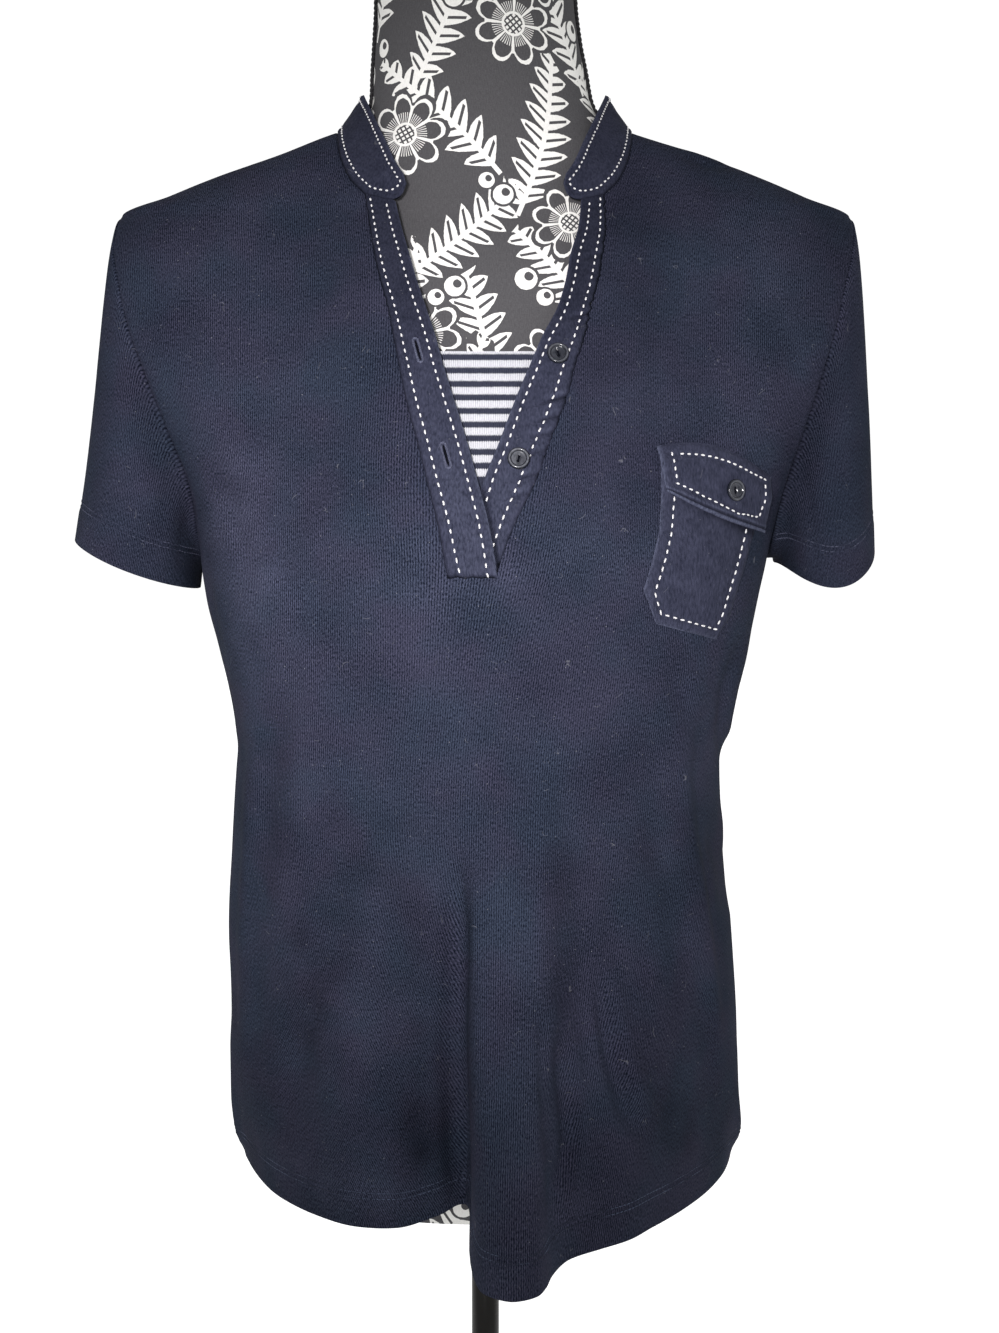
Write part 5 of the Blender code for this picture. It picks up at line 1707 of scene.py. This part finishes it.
inFromSide = pocket["stitchInset"] / pocket["stitchedWidth"]
pocketCorners = (
    (1 - inFromSide, pocket["stitchTop"]), (1 - inFromSide, pocket["stitchFoot"]),
    (inFromSide, pocket["stitchFoot"]), (inFromSide, pocket["stitchTop"]),
)
pocketPath = patchPath(pocketRows, pocketCorners, 60, lambda up: pocket["lift"])
pocketPath.append(patchSpot(pocketRows, *pocketCorners[-1], pocket["lift"]))
pitch, length = pocket["stitchPitch"], pocket["stitchLength"]
pocketStitches = sewWhite("pocketStitches", [("pocket_cloth", pocketPath, pitch, length, pitch, length)])

flapPath = patchPath(flapRows, flap["stitchCorners"], 20, flapLift)
pitch, length = flap["stitchPitch"], flap["stitchLength"]
flapStitches = sewWhite("flapStitches", [("pocket_flap_cloth", flapPath, pitch, length, pitch, length)])


def coverStitch(body, tree, path):
    # two needle rows with the looper's thread crossing between them
    sizes = [stitch["hem" + name] for name in ("Length", "Width", "Height", "Lift", "Loose")]
    spots = walk(path, stitch["hemPitch"])
    for offset in (-0.5, 0.5):
        row = []
        for spot, ahead in spots:
            found, normal, _, _ = tree.find_nearest(spot)
            aside = normal.cross(ahead).normalized()
            row.append((found + aside * offset * stitch["hemGap"], ahead))
        sew(body, tree, row, *sizes)


print("stitching the hems")
hemThread = bmesh.new()
hemUp, hemEnd = shirt["hem"] + shirt["hemDepth"], stitch["hemEnd"]
for face, name, steps in ((-1, "front_panel_cloth", 900), (1, "back_panel_cloth", 600)):
    path = [panelPoint(face, -hemEnd + 2 * hemEnd * i / steps, hemUp) for i in range(steps + 1)]
    coverStitch(hemThread, trees[name], path)
hemStitches = finishMesh("hemStitches", hemThread, looks["navyThread"], "navy_knit")

for side in (-1, 1):
    place = sleevePlace(side)
    path = []
    for column in range(2 * upperRows + 1):
        edge, above = place(column, sleeves["rings"]), place(column, sleeves["rings"] - 1)
        path.append(edge + (above - edge).normalized() * sleeves["hemDepth"])
    cuffThread = bmesh.new()
    coverStitch(cuffThread, trees["sleeve_" + sideName(side) + "_cloth"], path)
    name = "cuffStitches" + sideName(side).title()
    finishMesh(name, cuffThread, looks["cuffThread"], "navy_knit")


# two lips of short bars across the slit, and a tack of ever shorter bars past each end of it
buttonholes = {
    "spots": ((-34.8, 1068), (-20, 1013)), "lean": 2.2, "rise": 8, "length": 12.5, "bars": 21,
    "lipGap": 1.3, "bar": {"length": 1.35, "width": 0.62, "height": 0.75, "lift": 0.15, "loose": 0.06},
    "tackBars": 4, "tackFrom": 0.3, "tackStep": 0.25, "tackLength": 3, "tackShorter": 0.35,
    "tack": {"width": 0.5, "height": 0.7, "lift": 0.15, "loose": 0.04},
    # a near-black bar in each slit, a painted shadow of the gap
    "slitShadow": {"length": 11.9, "width": 1.35, "height": 0.5, "lift": 0.05},
}


def makeButtonholes():
    thread, slitShadow = bmesh.new(), bmesh.new()
    tree = trees["placket_right_cloth"]
    half, lean, rise = buttonholes["length"] / 2, buttonholes["lean"], buttonholes["rise"]
    for x, height in buttonholes["spots"]:
        low, high = frontPoint(x + lean, height - rise), frontPoint(x - lean, height + rise)
        ahead = (high - low).normalized()
        middle = frontPoint(x, height)
        normal = frontNormal(x, height)
        aside = normal.cross(ahead)
        for i in range(buttonholes["bars"]):
            along = mix(-half, half, i / (buttonholes["bars"] - 1))
            for lip in (-1, 1):
                spot = middle + ahead * along + aside * lip * buttonholes["lipGap"]
                sew(thread, tree, [(spot, aside)], **buttonholes["bar"])
        for end in (-1, 1):
            for i in range(buttonholes["tackBars"]):
                spot = middle + ahead * end * (half + buttonholes["tackFrom"] + buttonholes["tackStep"] * i)
                length = buttonholes["tackLength"] - buttonholes["tackShorter"] * i
                sew(thread, tree, [(spot, aside)], length, **buttonholes["tack"])
        # the painted shadow in the slit
        sew(slitShadow, tree, [(middle, ahead)], **buttonholes["slitShadow"])
    return (
        finishMesh("buttonholeThread", thread, looks["lipThread"], "navy_woven"),
        finishMesh("buttonholeSlitShadows", slitShadow, looks["darkThreadAndSlitShadow"], "navy_woven"),
    )


holeThread, holeSlitShadows = makeButtonholes()

# the last column sets how pale a button's painted reflection in its dish is, and part of the painted
# highlight on its ring
buttons = table("node x z lift turn rubbed", (
    ("button_upper", 38, 1065.9, 0.5, 20, 0.3), ("button_lower", 17.2, 1011.1, 0.5, -8, 1),
    ("button_pocket", 127.3, 995.4, 5.6, 4, 0.35),
))
disc = {
    "profile": (
        (0, 0), (4.6, 0), (5.5, 0.45), (5.8, 1.1), (5.72, 1.75), (5.35, 2.25), (4.95, 2.4), (4.5, 2.3),
        (4.15, 1.95), (3.9, 1.65), (3.6, 1.5), (3.2, 1.42), (2.8, 1.4), (2.4, 1.4), (2, 1.4), (1.6, 1.4),
        (1.2, 1.4), (0.8, 1.4), (0.4, 1.4), (0, 1.4),
    ),
    # the dish's painted reflection and the ring's painted highlight: their reach and how pale they are
    "sides": 64, "dishRadius": 3.7, "dishReflection": 0.24, "ringRadius": 4.75, "ringWidth": 0.32, "ringHighlight": 0.62,
    "eyeHalfLength": 3.1, "eyeHalfWidth": 1.25, "eyeDepth": 0.75, "eyeEdge": 1.25, "eyeSlope": 0.8,
    "holeGap": 1.25, "holeShift": 0.25, "holeHeight": 0.78, "holeSize": (1.3, 1.3, 0.4),
    "strands": (-0.3, 0.05, 0.36), "strandHeight": 0.9, "strandSize": (0.42, 3.9, 0.55),
    "shankHeight": -0.3, "shankSize": (2.4, 2.4, 1.2),
}


def fillEnds(body):
    bmesh.ops.holes_fill(body, edges=[edge for edge in body.edges if edge.is_boundary])
    bmesh.ops.recalc_face_normals(body, faces=body.faces)


def lathe(profile, steps):
    body = bmesh.new()
    verts = [body.verts.new((radius, 0, height)) for radius, height in profile]
    edges = [body.edges.new(pair) for pair in zip(verts, verts[1:])]
    bmesh.ops.spin(
        body, geom=verts + edges, cent=(0, 0, 0), axis=(0, 0, 1), angle=math.tau, steps=steps, use_merge=True,
    )
    bmesh.ops.remove_doubles(body, verts=body.verts, dist=weld)
    fillEnds(body)
    return body


def pressedBall(body, spot, size, segments, rings):
    place = Matrix.Translation(spot) @ Matrix.Diagonal((*size, 1.0))
    bmesh.ops.create_uvsphere(body, u_segments=segments, v_segments=rings, radius=0.5, matrix=place)


def makeButton(button):
    seat = lifted(button["x"], button["z"], button["lift"])
    normal = frontNormal(button["x"], button["z"])
    frameTurn = normal.to_track_quat("Z", "Y").to_matrix().to_4x4()
    whole = Matrix.Translation(seat) @ frameTurn @ Matrix.Rotation(math.radians(button["turn"]), 4, "Z")
    body = lathe(disc["profile"], disc["sides"])
    # on a button this attribute holds only the painted highlight and the painted reflection
    rubbed = body.verts.layers.float.new("wear")
    for vert in body.verts:
        # a painted highlight on the ring and a painted reflection in the dish of the button's face, and the
        # dish has an eye sunk in it
        out = math.hypot(vert.co.x, vert.co.y)
        ring = bell(out - disc["ringRadius"], disc["ringWidth"])
        ring *= disc["ringHighlight"] * (0.75 + 0.35 * noise.noise(vert.co * 0.6))
        dish = (out < disc["dishRadius"]) * (0.8 + 0.5 * noise.noise(vert.co * 0.5))
        pale = ring * (0.4 + 0.6 * button["rubbed"]) + disc["dishReflection"] * dish * button["rubbed"]
        vert[rubbed] = pale * (vert.co.z > 1.2)
        if vert.co.z > 1.0 and out < disc["dishRadius"]:
            eye = (vert.co.x / disc["eyeHalfWidth"]) ** 2
            eye += abs(vert.co.y / disc["eyeHalfLength"]) ** 1.5
            sunk = smooth((disc["eyeEdge"] - eye) / disc["eyeSlope"])
            vert.co.z -= disc["eyeDepth"] * sunk
    bmesh.ops.transform(body, matrix=whole, verts=body.verts)
    piece = finishMesh(button["node"] + "Turned", body, looks["button"], "dark_button")
    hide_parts(button["node"])
    thread = bmesh.new()
    for end in (-1, 1):
        hole = (end * disc["holeShift"], end * disc["holeGap"], disc["holeHeight"])
        pressedBall(thread, hole, disc["holeSize"], 12, 8)
    for across in disc["strands"]:
        pressedBall(thread, (across, 0, disc["strandHeight"]), disc["strandSize"], 8, 12)
    pressedBall(thread, (0, 0, disc["shankHeight"]), disc["shankSize"], 12, 8)
    bmesh.ops.transform(thread, matrix=whole, verts=thread.verts)
    finishMesh(button["node"] + "Thread", thread, looks["darkThreadAndSlitShadow"], "dark_button")


print("making the buttons")
for button in buttons:
    makeButton(button)


# the cover has no side seams between the seamless heights
formShape = {
    "sides": 144, "rows": 174, "neckAxis": (-5.5, 10), "foot": 604, "top": 1300, "seamDip": 0.6,
    "seamWidth": 0.03, "seamless": (1100, 1190),
}
formLevels = table("height middle halfWidth front back corner", (
    (604, 0, 126, 101, 99, 2.1), (612, 0, 129, 104, 101, 2.1), (660, 0, 133, 104, 98, 2.2),
    (720, 0, 130, 102, 93, 2.3), (780, 0, 124, 101, 88, 2.3), (820, 0, 123, 103, 87, 2.4),
    (860, 0, 127, 109, 89, 2.5), (900, 0, 136, 117, 93, 2.6), (935, 0, 145, 119, 97, 2.6),
    (965, 0, 149, 115.5, 99, 2.5), (1000, 0, 153, 107.5, 100, 2.4), (1050, 0, 167, 92, 101, 2.3),
    (1090, 0, 184, 76, 98, 2.3), (1115, 0, 194, 67, 93, 2.3), (1132, 0, 198, 59, 88, 2.2),
    (1143, 0, 198, 52, 84, 2.2), (1150, 0, 192, 49, 82, 2.2), (1158, 0, 172, 46, 79, 2.2),
    (1168, 0, 144, 43.5, 76, 2.1), (1178, 0, 116, 42, 73, 2.1), (1187, 0, 90, 41.5, 70, 2.1),
    (1195, -0.5, 74, 41, 68, 2), (1205, -1, 65, 41, 67, 2), (1216, -2, 60.8, 41.5, 66.5, 2),
    (1230, -3, 59.2, 42.5, 66, 2), (1248, -4.2, 56.8, 43, 65.5, 2),
    (1270, -5, 55, 43.5, 64.5, 2), (1300, -5.5, 54.8, 44, 64, 2),
))


def formPoint(turn, height, out=0.0):
    middle, half, front, back, corner = [
        read(formLevels, name, height) for name in ("middle", "halfWidth", "front", "back", "corner")
    ]
    across, forth = math.cos(turn), math.sin(turn)
    x = (half + out) * math.copysign(abs(across) ** (2 / corner), across)
    depth = (back if forth > 0 else front) + out
    return Vector((middle + x, depth * math.copysign(abs(forth) ** (2 / corner), forth), height))


def makeForm():
    body = bmesh.new()
    flat = body.loops.layers.uv.new("cloth")
    sides, rows = formShape["sides"], formShape["rows"]
    bmesh.ops.create_grid(body, x_segments=sides, y_segments=rows, size=0.5)
    keys = gridKeys(body.verts, sides, rows)
    heights = [mix(formShape["foot"], formShape["top"], row / rows) for row in range(rows + 1)]
    girths = []
    for height in heights:
        sums = runningLengths([formPoint(math.tau * step / sides, height) for step in range(sides + 1)])
        front = sums[round(sides * 0.75)]
        girths.append([value - front for value in sums])
    for face in body.faces:
        for loop in face.loops:
            column, row = keys[loop.vert]
            loop[flat].uv = (girths[row][column], heights[row])
    low, high = formShape["seamless"]
    for vert, (column, row) in keys.items():
        turn, height = math.tau * column / sides, heights[row]
        sideSeam = 0.0 if low <= height <= high else bell(math.sin(turn), formShape["seamWidth"])
        vert.co = formPoint(turn, height, -formShape["seamDip"] * sideSeam)
    bmesh.ops.remove_doubles(body, verts=body.verts, dist=weld)
    fillEnds(body)
    piece = finishMesh("formCover", body, looks["cover"], "form_cover")
    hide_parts("dress_form")


def tube(body, path, radius, sides):
    # a round strand along a path
    last = len(path) - 1
    grid = bmesh.ops.create_grid(body, x_segments=sides, y_segments=last, size=0.5)["verts"]
    for vert, (column, row) in gridKeys(grid, sides, last).items():
        ahead = (path[min(row + 1, last)] - path[max(row - 1, 0)]).normalized()
        out = ahead.cross(Vector((0, 1, 0))).normalized()
        turn = math.tau * (column % sides) / sides
        vert.co = path[row] + (out * math.cos(turn) + ahead.cross(out) * math.sin(turn)) * radius
    bmesh.ops.remove_doubles(body, verts=grid, dist=weld)


# the braid down each side of the neck
braid = {
    "low": 1190, "high": 1299.5, "pitch": 8.5, "swing": 1.6, "rise": 0.55, "radius": 0.85, "strands": 3,
    "sides": 8, "step": 0.5,
}


def makeBraid():
    body = bmesh.new()
    count = round((braid["high"] - braid["low"]) / braid["step"])
    for end in (0.0, math.pi):
        for strand in range(braid["strands"]):
            path = []
            for i in range(count + 1):
                height = mix(braid["low"], braid["high"], i / count)
                phase = math.tau * ((height - braid["low"]) / braid["pitch"] + strand / braid["strands"])
                edge = formPoint(end, height)
                outwards = Vector((math.cos(end), 0, 0))
                out = braid["radius"] + braid["rise"] * math.sin(2 * phase)
                path.append(edge + outwards * out + Vector((0, braid["swing"] * math.sin(phase), 0)))
            tube(body, path, braid["radius"], braid["sides"])
    fillEnds(body)
    finishMesh("formBraid", body, looks["braid"], "form_cover")


# radius and height of each turned piece, from its foot up
stand = {
    "neck_cap": (
        (0, 0), (49.2, 0), (50, 0.8), (50, 7.5), (49.5, 9.4), (48.2, 11), (46, 12),
        (0, 12),
    ),
    "pole": ((0, 37.8), (7.7, 37.8), (8, 38.1), (8, 603.4), (7.7, 603.7), (0, 603.7)),
    "pole_socket": (
        (0, 7.8), (21.4, 7.8), (22, 8.4), (22, 11.2), (21.2, 12.4), (18.6, 13.6), (16.6, 16.5),
        (15.4, 21), (14.8, 27), (14.6, 33), (14, 36), (13, 37.5), (0, 37.5),
    ),
    "stand_foot": (
        (0, 0), (159, 0), (159.8, 0.6), (160, 1.6), (159.6, 3.2), (158.4, 4.3), (156, 4.8),
        (120, 5.7), (80, 6.7), (46, 7.4), (44, 7.5), (0, 7.5),
    ),
}


def makeStand():
    for node, profile in stand.items():
        body = lathe(profile, 96)
        base = (*formShape["neckAxis"], formShape["top"] + shirt["gap"]) if node == "neck_cap" else (0, 0, 0)
        bmesh.ops.translate(body, vec=base, verts=body.verts)
        piece = finishMesh(node + "Turned", body, looks["metal"], "black_metal", sharp=50)
        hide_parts(node)


print("making the form and its stand")
makeForm()
makeBraid()
makeStand()


for side in (-1, 1):
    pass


# stage, lights and camera, in metres
setting = {
    "floor": (0.86, 0.86, 0.86), "floorPale": (0.90, 0.90, 0.90), "floorPatch": 700, "floorGlow": 0.55,
    "floorSize": 24, "floorDrop": 0.0005, "worldBehind": 1.05, "worldBefore": 0.42, "worldBlend": 0.4,
    "key": 147, "keyPlace": (-0.16, -1.42, 1.03), "keyAim": (-0.045, -0.13, 0.955), "keyAngle": 31.5,
    "keyRadius": 0.07, "keyTint": (1, 0.955, 0.975), "fill": 4, "fillSize": 1.2,
    "fillPlace": (0.9, -1.5, 1.9), "fillAim": (0, 0, 0.9), "lens": 52.2, "sensorWidth": 36,
    "cameraPlace": (0, -1.11, 0.98), "cameraDip": 4.33, "cameraTurn": -0.43,
}
white = (1.0, 1.0, 1.0, 1.0)


def makeStage():
    body = bmesh.new()
    bmesh.ops.create_grid(body, x_segments=1, y_segments=1, size=setting["floorSize"] / 2)
    bmesh.ops.translate(body, verts=body.verts, vec=(0, 0, -setting["floorDrop"]))
    mesh = bpy.data.meshes.new("studioFloor")
    body.to_mesh(mesh)
    body.free()
    finish = Finish("studioWhite", 0.9, Specular_IOR_Level=0.0)
    finish.shader.inputs["Emission Color"].default_value = white
    finish.shader.inputs["Emission Strength"].default_value = setting["floorGlow"]
    patches = finish.cloud(finish.place(), setting["floorPatch"], 2.0)
    finish.feed("Base Color", finish.mixed(patches, setting["floor"], setting["floorPale"]))
    mesh.materials.append(finish.material)
    floor = bpy.data.objects.new("studioFloor", mesh)
    bpy.context.scene.collection.objects.link(floor)


def aimed(name, data, place, aim):
    lamp = bpy.data.objects.new(name, data)
    lamp.location = place
    lamp.rotation_euler = (Vector(aim) - Vector(place)).to_track_quat("-Z", "Y").to_euler()
    bpy.context.scene.collection.objects.link(lamp)


def makeLights():
    key = bpy.data.lights.new("key", "SPOT")
    key.energy = setting["key"]
    key.color = setting["keyTint"]
    key.spot_size = math.radians(setting["keyAngle"])
    key.spot_blend = 1.0
    key.shadow_soft_size = setting["keyRadius"]
    aimed("key", key, setting["keyPlace"], setting["keyAim"])
    fill = bpy.data.lights.new("fill", "AREA")
    fill.shape = "DISK"
    fill.size = setting["fillSize"]
    fill.energy = setting["fill"]
    aimed("fill", fill, setting["fillPlace"], setting["fillAim"])


def makeWorld():
    # white behind the object, dimmer behind the camera
    world = bpy.data.worlds.new("studio")
    world.use_nodes = True
    nodes = Nodes(world.node_tree)
    background = nodes.tree.nodes["Background"]
    forth = nodes.axes(nodes.node("ShaderNodeTexCoord", output="Generated"))[1]
    level = nodes.range(
        forth, -setting["worldBlend"], setting["worldBlend"], setting["worldBefore"], setting["worldBehind"],
        "SMOOTHSTEP",
    )
    nodes.tree.links.new(level.socket, background.inputs["Strength"])
    background.inputs["Color"].default_value = white
    bpy.context.scene.world = world


def makeCamera():
    camera = bpy.data.cameras.new("camera")
    camera.lens = setting["lens"]
    camera.sensor_width = setting["sensorWidth"]
    eye = bpy.data.objects.new("camera", camera)
    eye.location = setting["cameraPlace"]
    tilt, turn = 90.0 - setting["cameraDip"], setting["cameraTurn"]
    eye.rotation_euler = (math.radians(tilt), 0.0, math.radians(turn))
    bpy.context.scene.collection.objects.link(eye)
    bpy.context.scene.camera = eye


print("setting the stage")
makeStage()
makeLights()
makeWorld()
makeCamera()
bpy.context.scene.view_settings.view_transform = "Standard"
bpy.context.scene.view_settings.look = "None"
